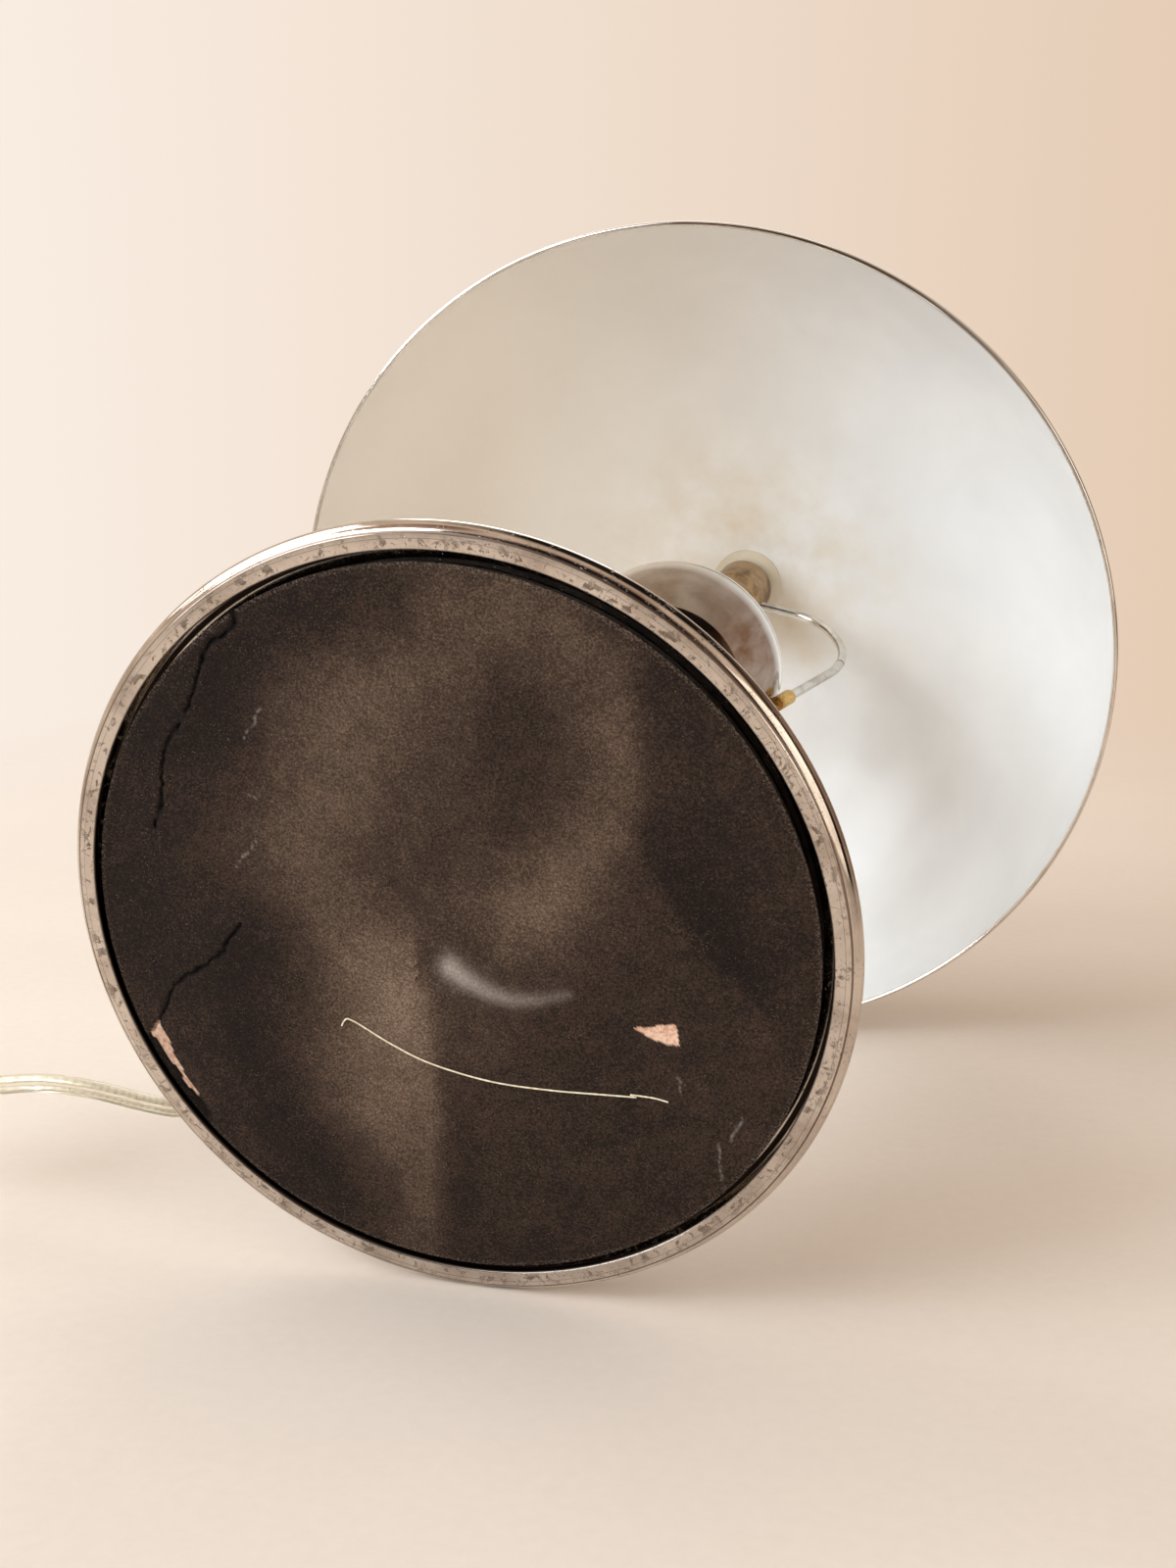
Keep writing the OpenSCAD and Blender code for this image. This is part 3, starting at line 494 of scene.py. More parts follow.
def plainLook(name, kind, bright, dull, roughLow, roughHigh, pits=None, brownAndHighlight=None):
    # plated steel, bare metal or moulded plastic: cloudy wear and a fine grain
    metallic, cloud, grain, stretch, places, share, depth = kind
    look = Look(name, Metallic=metallic)
    cloud = look.noise(*cloud)
    grain = look.noise(*grain, look.mapped((1, 1, stretch)))
    tone = look.ramp(cloud, *zip(places, (dull, bright)))
    rough = look.spread(look.mix(share, cloud, grain), roughLow, roughHigh)
    if pits:
        tone, rough = pitted(look, tone, rough, pits)
    if brownAndHighlight:
        tone = brownSideAndHighlight(look, tone, brownAndHighlight)
    return look.painted(tone, rough, (grain, depth))


footPits = {"groove": 0.09405, "edge": 0.0902, "bead": (0.0931, 0.0034)}
# the cup's brown streaks over X, and the heights of its painted rim highlight
cupBrownAndHighlight = {"from": (0.002, 0.024), "rim": (0.2085, 0.2155), "colour": (122, 86, 60)}
plain = {
    chrome: {
        "footChrome": ((208, 197, 186), (176, 163, 151), 0.05, 0.16, footPits),
        "stemChrome": ((228, 224, 218), (206, 200, 192), 0.04, 0.12),
        "cupChrome": ((188, 174, 160), (156, 136, 118), 0.03, 0.07, None, cupBrownAndHighlight),
        "shadeChrome": ((226, 222, 216), (204, 197, 188), 0.05, 0.13),
        "knobChrome": ((228, 224, 218), (200, 194, 186), 0.04, 0.12),
    },
    metal: {
        "wireChrome": ((222, 218, 210), (186, 178, 168), 0.12, 0.26),
        "steelFixings": ((190, 188, 184), (140, 136, 132), 0.25, 0.45),
        "plainBrass": ((214, 176, 104), (168, 128, 70), 0.18, 0.36),
        "darkBrass": ((180, 152, 116), (124, 99, 74), 0.28, 0.5),
        "capAlloy": ((200, 198, 192), (158, 154, 146), 0.2, 0.38),
        "pinNickel": ((206, 200, 188), (168, 160, 146), 0.16, 0.34),
    },
    (*plastic[:-1], 0.00001): {"bakelite": ((42, 34, 30), (24, 19, 17), 0.22, 0.4)},
    plastic: {
        "steatite": ((222, 214, 200), (190, 180, 164), 0.5, 0.75),
        "seatPaint": ((214, 202, 180), (196, 182, 156), 0.5, 0.7),
        "nylon": ((226, 220, 206), (196, 188, 172), 0.35, 0.5),
        "switchPlastic": ((232, 224, 206), (214, 204, 182), 0.3, 0.48),
        "rockerPlastic": ((238, 234, 222), (220, 212, 196), 0.24, 0.4),
        "plugPlastic": ((230, 222, 204), (208, 198, 176), 0.34, 0.5),
        "tiePlastic": ((240, 238, 232), (224, 220, 212), 0.3, 0.45),
    },
}
looks = {name: plainLook(name, kind, *facts)
         for kind, rows in plain.items() for name, facts in rows.items()}


def castLook():
    look = Look("castWeight")
    lumps = look.noise(260, 6, 0.6)
    tone = look.ramp(lumps, (0.3, (38, 34, 32)), (0.55, (64, 58, 54)), (0.74, (104, 72, 52)))
    return look.painted(tone, look.spread(lumps, 0.65, 0.9), (lumps, 0.0003),
                        (look.cells(1400), 0.00008))


def glassLook():
    # opal glass: white through its body, with a clear gloss
    look = Look("opalGlass", Subsurface_Weight=0.25, Subsurface_Scale=0.004, Coat_Weight=0.4,
                Coat_Roughness=0.04)
    cloud = look.noise(30, 3, 0.5)
    return look.painted(look.ramp(cloud, (0.3, (238, 236, 230)), (0.7, (246, 245, 241))),
                        look.spread(cloud, 0.12, 0.2))


def sheathLook():
    # clear vinyl that has yellowed, with wiping marks along it
    look = Look("clearSheath", Transmission_Weight=0.8, IOR=1.36)
    cloud = look.noise(160, 4, 0.55)
    return look.painted(look.ramp(cloud, (0.3, (246, 239, 220)), (0.66, (252, 249, 238))),
                        look.spread(look.noise(2400, 2, 0.5), 0.05, 0.12), (cloud, 0.00001))


def strandLook():
    # tinned copper strands, with the twist of the bunch as fine ridges
    look = Look("strands", Metallic=0.6)
    twist = look.put("ShaderNodeTexWave", {"Vector": look.mapped(), "Scale": 260,
                                           "Distortion": 2}, bands_direction="DIAGONAL")
    return look.painted(look.ramp(twist, (0.2, (232, 224, 206)), (0.7, (248, 244, 232))),
                        look.spread(look.noise(700), 0.25, 0.4), (twist, 0.00002))


def enamelLook():
    # satin stove enamel inside the shade: white, with painted warm shade on its -X side, and
    # browner round the hub in patches
    look = Look("whiteEnamel", Coat_Weight=0.3, Coat_Roughness=0.16)
    cloud = look.noise(14, 4, 0.6, 0.3)
    warm = look.times(look.spread(look.radius(), 1, 0, 0.02, 0.075),
                      look.spread(look.noise(34, 4, 0.6), 0, 1, 0.35, 0.7))
    # painted shade: the -X side is mixed towards warm beige
    warmShadeSide = look.spread(look.part(look.place, "X"), 0.55, 0, -0.1, 0.04)
    tone = look.ramp(cloud, (0.3, (230, 232, 233)), (0.7, (240, 242, 243)))
    tone = look.mix(warmShadeSide, tone, (246, 234, 214))
    tone = look.mix(look.times(warm, 0.8), tone, (214, 196, 164))
    rough = look.spread(cloud, 0.28, 0.36)  # below 0.275 the denoiser leaves spots
    return look.painted(tone, rough, (look.noise(700, 2, 0.5), 0.000012))


looks.update({"castWeight": castLook(), "opalGlass": glassLook(), "clearSheath": sheathLook(),
              "strands": strandLook(), "whiteEnamel": enamelLook()})
print("materials made", len(looks))

# Cord: a clear flat twin cord from the bush, through the switch, round a coil, to the plug

cord = {
    "width": 0.0048, "thick": 0.0025, "core": 0.0011, "apart": 0.00118,
    "run": [(-0.04864, 0.06225, 0.0132), (-0.05233, 0.06698, 0.0132), (-0.05578, 0.07139, 0.01315),
            (-0.05798, 0.07323, 0.0125), (-0.06052, 0.07454, 0.0113), (-0.06342, 0.07532, 0.0098),
            (-0.06663, 0.07586, 0.0082), (-0.071, 0.0755, 0.0065), (-0.076, 0.0748, 0.0048),
            (-0.082, 0.074, 0.0031), (-0.088, 0.0739, 0.002), (-0.094, 0.0746, 0.0015),
            (-0.1, 0.076, 0.0014), (-0.106, 0.0782, 0.0014), (-0.112, 0.0808, 0.0015),
            (-0.118, 0.0832, 0.0024), (-0.124, 0.085, 0.004), (-0.1295, 0.0859, 0.0058),
            (-0.134, 0.086, 0.006), (-0.139, 0.086, 0.006)],
    "lead": [(-0.185, 0.086, 0.006), (-0.19, 0.086, 0.006), (-0.195, 0.0858, 0.0056),
             (-0.2004, 0.0841, 0.0046), (-0.2052, 0.081, 0.0036), (-0.209, 0.0766, 0.0028),
             (-0.2113, 0.0714, 0.0023), (-0.212, 0.066, 0.0021), (-0.212, 0.058, 0.002),
             (-0.212, 0.05, 0.002), (-0.212, 0.042, 0.002), (-0.212, 0.034, 0.002),
             (-0.212, 0.0248, 0.002)],
    "tail": [(-0.212, 0.0152, 0.0116), (-0.212, 0.009, 0.0114), (-0.212, 0.002, 0.0106),
             (-0.212, -0.005, 0.0093), (-0.212, -0.011, 0.008), (-0.212, -0.016, 0.0071),
             (-0.212, -0.021, 0.0068), (-0.212, -0.027, 0.0068), (-0.212, -0.044, 0.0068)],
}
coil = {"centre": (-0.18045, 0.020), "inner": 0.0194, "turns": 2.25, "pitch": 0.0054,
        "layers": 4, "layerPitch": 0.0032, "low": 0.0020, "stepsATurn": 32}


def coilPoint(facts, s):
    # the coil after s turns: it spirals in and out by turns, and climbs while it reverses
    layer = min(int(s / facts["turns"]), facts["layers"] - 1)
    along = s - layer * facts["turns"]
    outer = facts["inner"] + facts["turns"] * facts["pitch"]
    radius = outer - along * facts["pitch"] if layer % 2 == 0 else (
        facts["inner"] + along * facts["pitch"])
    climb = sum(min(max(2 * (s - k * facts["turns"]) + 0.5, 0), 1)
                for k in range(1, facts["layers"]))
    a = pi * (1 + 2 * s)
    return Vector((facts["centre"][0] + radius * cos(a),
                   facts["centre"][1] + radius * sin(a),
                   facts["low"] + facts["layerPitch"] * climb))


def coilLine(facts):
    whole = facts["turns"] * facts["layers"]
    steps = round(whole * facts["stepsATurn"])
    return [coilPoint(facts, whole * i / steps) for i in range(steps + 1)]


def besides(points, shift):
    # the same line moved sideways, level with the ground
    out = []
    for i, place in enumerate(points):
        ahead = points[min(i + 1, len(points) - 1)] - points[max(i - 1, 0)]
        side = Vector((0, 0, 1)).cross(ahead).normalized()
        out.append(place + side * shift)
    return out


def joined(name, meshes):
    made = bmesh.new()
    for mesh in meshes:
        made.from_mesh(mesh)
    whole = meshOf(name, made)
    for mesh in meshes:
        bpy.data.meshes.remove(mesh)
    return whole


cordLine = smoothLine(cord["run"]) + smoothLine(cord["lead"])
cordLine += coilLine(coil) + smoothLine(cord["tail"])
cordLong = wayLong(cordLine)
print("cord is", round(cordLong, 3), "m long")

waisted = {"waist": 0.5, "swell": 1.75}  # the section is thinner between the cores
twinCord = addPiece(
    "twinCord", swept("twinCord", cordLine, "clearSheath", cord["width"], cord["thick"],
                      **waisted, sides=26),
    "clearSheath", ["cord_run", "cord_lead", "cord_coil", "cord_tail"])
cordCores = addPiece("cordCores", joined("cordCores", [
    swept(f"core{side}", besides(cordLine, side * cord["apart"]), "strands", cord["core"],
          sides=8) for side in (-1, 1)]), "strands")
switchPieces = [dressed("switchBottom", "switchPlastic", 0.0004),
                dressed("switchTop", "switchPlastic", 0.0006),
                dressed("switchContacts", "plainBrass", 0.0001),
                dressed("switchScrews", "steelFixings", 0.0001)]
switchRocker = dressed("switchRocker", "rockerPlastic", body="rocker")
coilTie = dressed("coilTie", "tiePlastic", 0.0002)
plugPieces = [dressed("plugRelief", "plugPlastic", 0.0002),
              dressed("plugBody", "plugPlastic", 0.0008, 30),
              dressed("plugPins", "pinNickel", 0),
              dressed("pinSleeves", "plugPlastic", 0.0001)]
cordBush = dressed("cordBush", "nylon", 0.0002, slot="cord_rubber")
[tuple(p) for p in cordLine]
print("cord set made")

# Inner flex: from the bush under the weight and up the rod to the holder

flex = {"azimuth": 128, "out": 0.079, "exit": 0.0132, "drum": 0.077, "low": 0.006,
        "bend": 0.008, "top": 0.1829, "width": 0.0046, "thick": 0.0024}


def flexLine(facts):
    d, low, bend = facts["drum"], facts["low"], facts["bend"]
    side = [(facts["out"], facts["exit"]), (d - 0.008, facts["exit"]),
            (d - 0.011, facts["exit"] - 0.0006), (d - 0.017, low + 0.0026),
            (d - 0.021, low + 0.0005), (d - 0.025, low), ((d - 0.025) * 0.7, low), (0.018, low)]
    side += arc((bend, low + bend), bend, 270, 180, 6)
    side += [(0.0, 0.024), (0.0, 0.1), (0.0, facts["top"])]
    a = radians(facts["azimuth"])
    return [Vector((r * cos(a), r * sin(a), z)) for r, z in side]


addPiece("innerFlex", swept("innerFlex", flexLine(flex), "clearSheath", flex["width"],
                            flex["thick"], **waisted, sides=22),
         "clearSheath", ["inner_flex"])


# Foot: a spun chrome shell with a beaded ring, over a cast weight

foot = {"open": 0.090, "ring": 0.0942, "groove": 0.0940, "beadX": 0.0931, "beadZ": 0.0034,
        "bead": 0.003, "shelf": 0.0071, "drum": 0.077, "cove": 0.0015, "shoulderZ": 0.023,
        "shoulder": 0.0055, "top": 0.033, "flat": 0.018, "hole": 0.00535, "wall": 0.001}


def footOutline(f):
    outer = [(f["open"], 0.0005), (f["open"] + 0.0002, 0.00015), (f["open"] + 0.0005, 0),
             (f["groove"] - 0.0003, 0), (f["groove"], 0.0004), (f["ring"] + 0.0002, 0.0005)]
    outer += arc((f["beadX"], f["beadZ"]), f["bead"], -52, 100, 24)
    outer += [(f["beadX"] - f["bead"], f["shelf"] - 0.0001)]
    outer += arc((f["drum"] + f["cove"], f["shelf"] + f["cove"]), f["cove"], 270, 180, 8)
    outer += arc((f["drum"] - f["shoulder"], f["shoulderZ"] - f["shoulder"]), f["shoulder"],
                 0, 78, 14)
    outer += bent((f["flat"] + 0.014, f["top"] - (f["top"] - f["shoulderZ"]) * 0.22),
                  (f["flat"] + 0.006, f["top"]), (f["flat"], f["top"]), 10)
    outer += [(f["hole"], f["top"])]
    return outer + inset(outer, f["wall"])[::-1]


turned("footShell", footOutline(foot), "footChrome", "base_shell", 256, 45)
dressed("baseWeight", "castWeight", 0.0004)
dressed("rodWasher", "steelFixings")
dressed("rodNut", "plainBrass")
dressed("threadedRod", "plainBrass")
print("foot made")

# Pad: a coated card disc with cracks, a lifted corner, a crease and torn spots

pad = {
    "centre": (-0.00076, 0.00143), "radius": 0.0882, "low": 0.0016, "thick": 0.0012,
    "step": 0.0022,
    "cracks": [
        [(-62.4, -63.5), (-61.2, -62.7), (-60.0, -60.4), (-62.4, -56.8), (-65.8, -54.1),
         (-67.3, -49.4), (-68.5, -42.2), (-70.9, -32.9), (-74.2, -26.7), (-74.9, -20.1),
         (-74.2, -11.1), (-75.5, -4.0)],
        [(-51.0, 14.5), (-54.0, 20.2), (-55.1, 23.6), (-58.2, 27.5), (-64.7, 33.6),
         (-67.2, 37.8), (-67.9, 41.8), (-69.4, 46.8), (-71.4, 50.9)],
    ],
    "sliver": [(-71.8, 51.4), (-70.0, 47.4), (-67.1, 50.9), (-65.1, 55.3), (-60.5, 61.5),
               (-55.5, 66.6), (-60.3, 63.6), (-65.2, 58.4), (-69.3, 53.7)],
    "underSliver": [(-71.8, 51.4), (-69.3, 53.7), (-65.2, 58.4), (-60.3, 63.6), (-55.5, 66.6),
                    (-51.3, 72.3), (-55.1, 72.5), (-61.5, 67.7), (-67.9, 60.6), (-72.6, 53.0)],
    "wear": [  # how far to the left, to the right, how much paler, the line
        (15, 17, 0.24, [(-14.6, -73.4), (-30.7, -45.7), (-39.6, -18.6), (-31.6, 7.3),
         (-16.9, 23.9), (-9.2, 43.2)]),
        (3.2, 20, 0.26, [(-4.2, 19.7), (1.9, 44.9), (5.5, 66.4), (8.9, 90.2)]),
        (12, 11, 0.27, [(6.3, -77.7), (28.8, -63.4), (36.8, -52.9), (30.2, -36.8),
         (17.5, -15.7)]),
        (17, 3.2, -0.17, [(35.0, -69.6), (38.9, -53.5), (43.9, -33.6), (54.7, -21.1),
         (64.5, -11.8)]),
        (14, 13, -0.14, [(-48.0, 19.1), (-49.7, 40.3), (-34.4, 60.5), (-14.9, 85.7)]),
        (12, 12, -0.1, [(-83.5, -31.1), (-85.1, -2.6), (-74.9, 26.3)]),
        (8, 8, -0.07, [(10.4, -66.3), (6.0, -44.1), (4.0, -19.1)]),
        (32, 32, 0.16, [(-13.9, -36.0), (0.2, -20.5), (5.8, 0.7)]),
        (13, 13, -0.17, [(-63.0, -34.0), (-49.0, -58.0), (-34.0, -70.0)]),
        (16, 16, 0.04, [(39.8, -81.0), (65.1, -51.8), (79.4, -15.4), (74.2, 25.0)]),
    ],
    "crease": [(2.5, 9.0), (6.1, 10.6), (12, 12.2), (18, 12.4), (24, 10.6), (30.8, 6.8)],
    "patch": [(47.0, 10.6), (48.6, 9.5), (50.2, 9.3), (53.0, 7.6), (56.5, 6.3), (57.2, 8.6),
              (58.2, 11.3), (55.6, 11.9), (53.4, 11.8), (50.5, 11.5), (48.8, 10.6)],
    "thread": [(-22.3, 32.8), (-21.6, 30.8), (-19.3, 30.6), (-9.3, 33.6), (1.1, 35.5),
               (16.0, 35.3), (30.3, 32.8), (44.3, 29.3), (51.0, 27.6)],
    "threadEnd": [(49.5, 27.4), (55.0, 26.4), (58.5, 26.3)],
    "scratches": [
        [(-53.4, -19.4), (-50.6, -19.2)], [(-51.8, -41.4), (-53.4, -37.5), (-55.3, -33.0)],
        [(-49.2, -8.6), (-51.6, -4.2), (-53.9, -0.2)], [(4.0, 6.6), (8.6, 11.8)],
        [(71.9, 33.3), (73.1, 37.8), (74.4, 42.3)], [(74.3, 31.6), (75.9, 24.4)],
        [(59.5, 19.0), (61.0, 22.5)],
    ],
}


def toLine(point, line):
    # how far a point is from a line of points, and on which side of it
    best, side = 1e9, 1.0
    for a, b in zip(line, line[1:]):
        run = (b[0] - a[0], b[1] - a[1])
        rise = (point[0] - a[0], point[1] - a[1])
        t = min(max((rise[0] * run[0] + rise[1] * run[1]) / (run[0] ** 2 + run[1] ** 2), 0), 1)
        away = hypot(rise[0] - t * run[0], rise[1] - t * run[1])
        if away < best:
            best, side = away, copysign(1, run[0] * rise[1] - run[1] * rise[0])
    return best, side


def within(point, corners):
    inside = False
    for a, b in zip(corners, corners[1:] + corners[:1]):
        if (a[1] > point[1]) != (b[1] > point[1]):
            if point[0] < (b[0] - a[0]) * (point[1] - a[1]) / (b[1] - a[1]) + a[0]:
                inside = not inside
    return inside


def wave(point, scale, height):
    return noise.noise(Vector((point[0] * scale, point[1] * scale, height)))


def padMarks(facts, point):
    # how far the face moves out at a point in mm, how much painted shade falls in its cracks and
    # under the sliver, how bare, how scratched or lit by the painted crease highlight, and how
    # worn
    jog = tuple(c + 0.6 * wave(point, 0.6, height) for c, height in zip(point, (5.0, 9.0)))
    drop = 0.10 * wave(point, 0.045, 3.1)
    drop += 0.05 * wave(point, 0.2, 8.4)
    splitShade, bare, rub = 0.0, 0.0, 0.0
    for line in facts["cracks"]:
        away, side = toLine(jog, line)
        if away < 7:
            drop += 0.42 * exp(-(away / 3.0) ** 2) * (1 if side < 0 else 0.2)
        width = 0.7 + 0.35 * wave(point, 0.25, 1.0)
        if away < width:
            depth = 1 - away / width
            drop -= 0.95 * depth
            # painted shade: near black inside the crack
            splitShade = max(splitShade, min(1, depth * 1.8))
    away, side = toLine(point, facts["crease"])
    fade = 1 - min(max((point[0] - 2) / 34, 0), 1)
    if away < 8:
        drop += 0.6 * exp(-(away / 2.6) ** 2)
        # painted highlight: a pale smear along the crease, strongest at its left end
        rub = exp(-(away / (1.0 + 1.8 * fade)) ** 2) * (0.12 + 0.62 * fade ** 1.6)
    if within(point, facts["patch"]):
        drop -= 0.3
        bare = 1.0
    if within(point, facts["sliver"]):
        drop -= 0.5
        bare = 0.72
    if within(point, facts["underSliver"]):
        drop -= 0.9
        # painted shade under the lifted sliver
        splitShade = 0.75
    for line in facts["scratches"]:
        away, side = toLine(jog, line)
        rub = max(rub, 0.4 * max(0, 1 - away / 0.32))
    return drop, splitShade, bare, rub, worn(facts, point)


def worn(facts, point):
    # how pale the coating is worn at a point: soft strokes, some with one crisp side
    sway = tuple(c + 9 * wave(point, 0.03, height) + 1.6 * wave(point, 0.16, height)
                 for c, height in zip(point, (2.0, 7.0)))
    out = 0.34
    for left, right, by, line in facts["wear"]:
        away, side = toLine(point if min(left, right) < 5 else sway, line)
        out += by * exp(-(away / (left if side < 0 else right)) ** 2)
    return out


def padMesh(facts):
    made = bmesh.new()
    cx, cy = facts["centre"]
    rings = int(facts["radius"] / facts["step"])
    turns = 240
    middle = made.verts.new((cx, cy, facts["low"]))
    rows = []
    for k in range(1, rings + 1):
        r = facts["radius"] * k / rings
        rows.append([made.verts.new((cx + r * cos(2 * pi * i / turns),
                                     cy + r * sin(2 * pi * i / turns), facts["low"]))
                     for i in range(turns)])
    for i in range(turns):
        j = (i + 1) % turns
        made.faces.new((middle, rows[0][j], rows[0][i]))
        for one, two in zip(rows, rows[1:]):
            made.faces.new((one[i], one[j], two[j], two[i]))
    lines = facts["cracks"] + facts["scratches"] + [
        facts["crease"], facts["patch"] + facts["patch"][:1], facts["sliver"]]
    for reach in (4.0, 2.0):
        near = []
        for edge in made.edges:
            a, b = (v.co for v in edge.verts)
            place = ((a.x + b.x) * 500, (a.y + b.y) * 500)
            if min(toLine(place, line)[0] for line in lines) < reach:
                near.append(edge)
        bmesh.ops.subdivide_edges(made, edges=near, cuts=1, use_grid_fill=True)
    bmesh.ops.triangulate(made, faces=[f for f in made.faces if len(f.verts) > 4])
    layers = [made.verts.layers.float.new(mark) for mark in ("splitShade", "bare", "rub", "pale")]
    for v in made.verts:
        drop, *marks = padMarks(facts, (v.co.x * 1000, v.co.y * 1000))
        for layer, mark in zip(layers, marks):
            v[layer] = mark
        r = hypot(v.co.x - cx, v.co.y - cy)
        near = max(0.0, 1 - (facts["radius"] - r) / 0.002)
        v.co.z = facts["low"] - 0.001 * min(max(drop * (1 - near), -1.0), 1.0) + 0.0002 * near ** 2
    rim = [e for e in made.edges if e.is_boundary]
    raised = bmesh.ops.extrude_edge_only(made, edges=rim)["geom"]
    top = [v for v in raised if isinstance(v, bmesh.types.BMVert)]
    for v in top:
        v.co.z = facts["low"] + facts["thick"]
    bmesh.ops.contextual_create(made, geom=[e for e in made.edges if e.is_boundary])
    return meshFrom("coverPad", made, 50)


def padLook():
    # matt black-brown coating on card, worn paler in broad soft bands, and dusty, with painted
    # shade in its cracks and under the sliver and a painted highlight along its crease
    look = Look("padBoard", Specular_IOR_Level=0.1)
    cloud = look.noise(110, 7, 0.68, 0.5)
    fibre = look.noise(1700, 4, 0.8)
    share = look.attribute("pale")
    for grain, by in ((cloud, 0.46), (fibre, 1.6)):
        share = look.math("MULTIPLY_ADD", look.math("SUBTRACT", grain, 0.5), by, share)
    tone = look.ramp(share, (0.0, (20, 14, 13)), (0.25, (34, 26, 22)), (0.5, (60, 47, 39)),
                     (0.75, (90, 74, 62)), (1.0, (126, 108, 93)))
    speck = look.times(look.spread(look.cells(1500), 1, 0, 0.07, 0.2),
                       look.spread(look.noise(240, 5, 0.7), 0, 0.75, 0.46, 0.62))
    dust = look.times(look.spread(look.radius((*pad["centre"], 0)), 0, 1, 0.0868, 0.088),
                      look.spread(fibre, 0, 1, 0.5, 0.6))
    card = look.ramp(look.noise(900, 4, 0.6), (0.35, (198, 150, 126)), (0.6, (228, 196, 174)))
    # painted highlight along the crease, with the real scratches
    scratchesWithHighlight = look.times(look.attribute("rub"), look.spread(fibre, 0.55, 1.2))
    # near black: painted shade in the cracks and under the sliver
    for part, colour in ((speck, (156, 138, 118)), (look.times(dust, 0.6), (130, 116, 104)),
                         (look.attribute("splitShade"), (9, 6, 6)), (look.attribute("bare"), card),
                         (scratchesWithHighlight, (176, 166, 158))):
        tone = look.mix(part, tone, colour)
    return look.painted(tone, look.spread(cloud, 0.68, 0.86), (fibre, 0.00006),
                        (cloud, 0.0002, 0.6))


looks["padBoard"] = padLook()
addPiece("coverPad", padMesh(pad), "padBoard", ["base_pad"])


def threadLook():
    look = Look("looseThread")
    tone = look.ramp(look.noise(900), (0.35, (206, 192, 160)), (0.65, (240, 232, 212)))
    return look.painted(tone, 0.6, (look.noise(2600), 0.00003))


looks["thread"] = threadLook()
threadLines = [smoothLine([(x / 1000, y / 1000, pad["low"] - 0.00025) for x, y in pad[part]],
                          0.001) for part in ("thread", "threadEnd")]
addPiece("padThread", joined("padThread", [
    swept(f"thread{i}", line, "thread", 0.00042, 0.0003, sides=10)
    for i, line in enumerate(threadLines)]), "thread")
print("pad made")

# Stem and cup

stem = {"radius": 0.010, "inner": 0.009, "low": 0.035, "high": 0.170, "hole": 0.00535,
        "collar": 0.006}
cup = {"floor": 0.172, "foot": 0.012, "radius": 0.0345, "high": 0.044, "wall": 0.0009,
       "hole": 0.00535, "lip": 0.001}


def collarOutline(s, low, way):
    # a flared collar; way is 1 for one that stands on low and -1 for one that hangs from it
    side = [(s["hole"], low), (s["radius"] + 0.0045, low)]
    side += bent((s["radius"] + 0.0045, low + way * 0.0015), (s["radius"] + 0.0016,
                 low + way * 0.002), (s["radius"] + 0.0012, low + way * s["collar"]), 10)
    side += [(s["radius"] + 0.0006, low + way * (s["collar"] + 0.0002)),
             (s["radius"] + 0.00002, low + way * s["collar"]),
             (s["radius"] + 0.00002, low + way * 0.002), (s["hole"], low + way * 0.002)]
    return side


def cupOutline(c):
    outer = [(c["hole"], c["floor"])]
    for i in range(31):
        a = radians(3 * i)
        outer.append((c["foot"] + (c["radius"] - c["foot"]) * sin(a),
                      c["floor"] + c["high"] * (1 - cos(a))))
    inner = inset(outer, c["wall"])[::-1]
    lip = arc((c["radius"] - c["wall"] / 2, c["floor"] + c["high"]), c["lip"], -50, 230, 20)
    return outer[:-1] + lip + inner[1:]


tube = [(stem["inner"], stem["low"]), (stem["radius"], stem["low"]),
        (stem["radius"], stem["high"]), (stem["inner"], stem["high"])]
turned("baseCollar", collarOutline(stem, foot["top"], 1), "footChrome", "base_collar",
       slot="stem_chrome")
turned("stemTube", tube, "stemChrome", "stem_tube")
turned("cupCollar", collarOutline(stem, cup["floor"], -1), "cupChrome", "cup_collar",
       slot="stem_chrome")
turned("cupShell", cupOutline(cup), "cupChrome", "cup", 192, 45)
for name, look, bevel in (("holderNut", "plainBrass", 0.0002), ("holderBase", "bakelite", 0.0004),
                          ("holderInsert", "steatite", 0.0003),
                          ("holderSleeve", "bakelite", 0.0005),
                          ("screwShell", "plainBrass", 0.0001),
                          ("centreContact", "plainBrass", 0.0001),
                          ("terminalScrews", "plainBrass", 0.0002)):
    dressed(name, look, bevel)


# Bulb: an opal globe on a screw cap

bulb = {"low": 0.1929, "cap": 0.022, "capRadius": 0.00694, "radius": 0.0225, "top": 0.2689,
        "wall": 0.0008}


def bulbOutline(b):
    c = b["top"] - b["radius"]
    neck = b["capRadius"] - 0.0004
    meet = radians(-55)
    side = (b["radius"] * cos(meet), c + b["radius"] * sin(meet))
    outer = [(neck, b["low"] + b["cap"])]
    outer += bent((neck, b["low"] + b["cap"] + 0.002), (neck + 0.0006, side[1] - 0.003), side, 10)
    outer += arc((0, c), b["radius"], -53, 88, 46)
    inner = inset(outer, b["wall"])[::-1]
    return outer + [(0, b["top"]), (0, b["top"] - b["wall"])] + inner


turned("bulbGlass", bulbOutline(bulb), "opalGlass", "bulb_glass", 96, 50, body="bulb")
dressed("bulbCap", "capAlloy", 0, 50, body="bulb")
dressed("bulbContact", "capAlloy", 0, body="bulb")
print("stem, cup and bulb made")

# Harp: two bowed wires from the cup's ferrules to the swivel's hub

harp = {"wire": 0.003, "foot": (0.0375, 0.209), "bowCentre": -0.0125, "bow": 0.060,
        "shoulder": 0.018, "bowEnd": 35, "top": 0.301, "end": 0.0045}


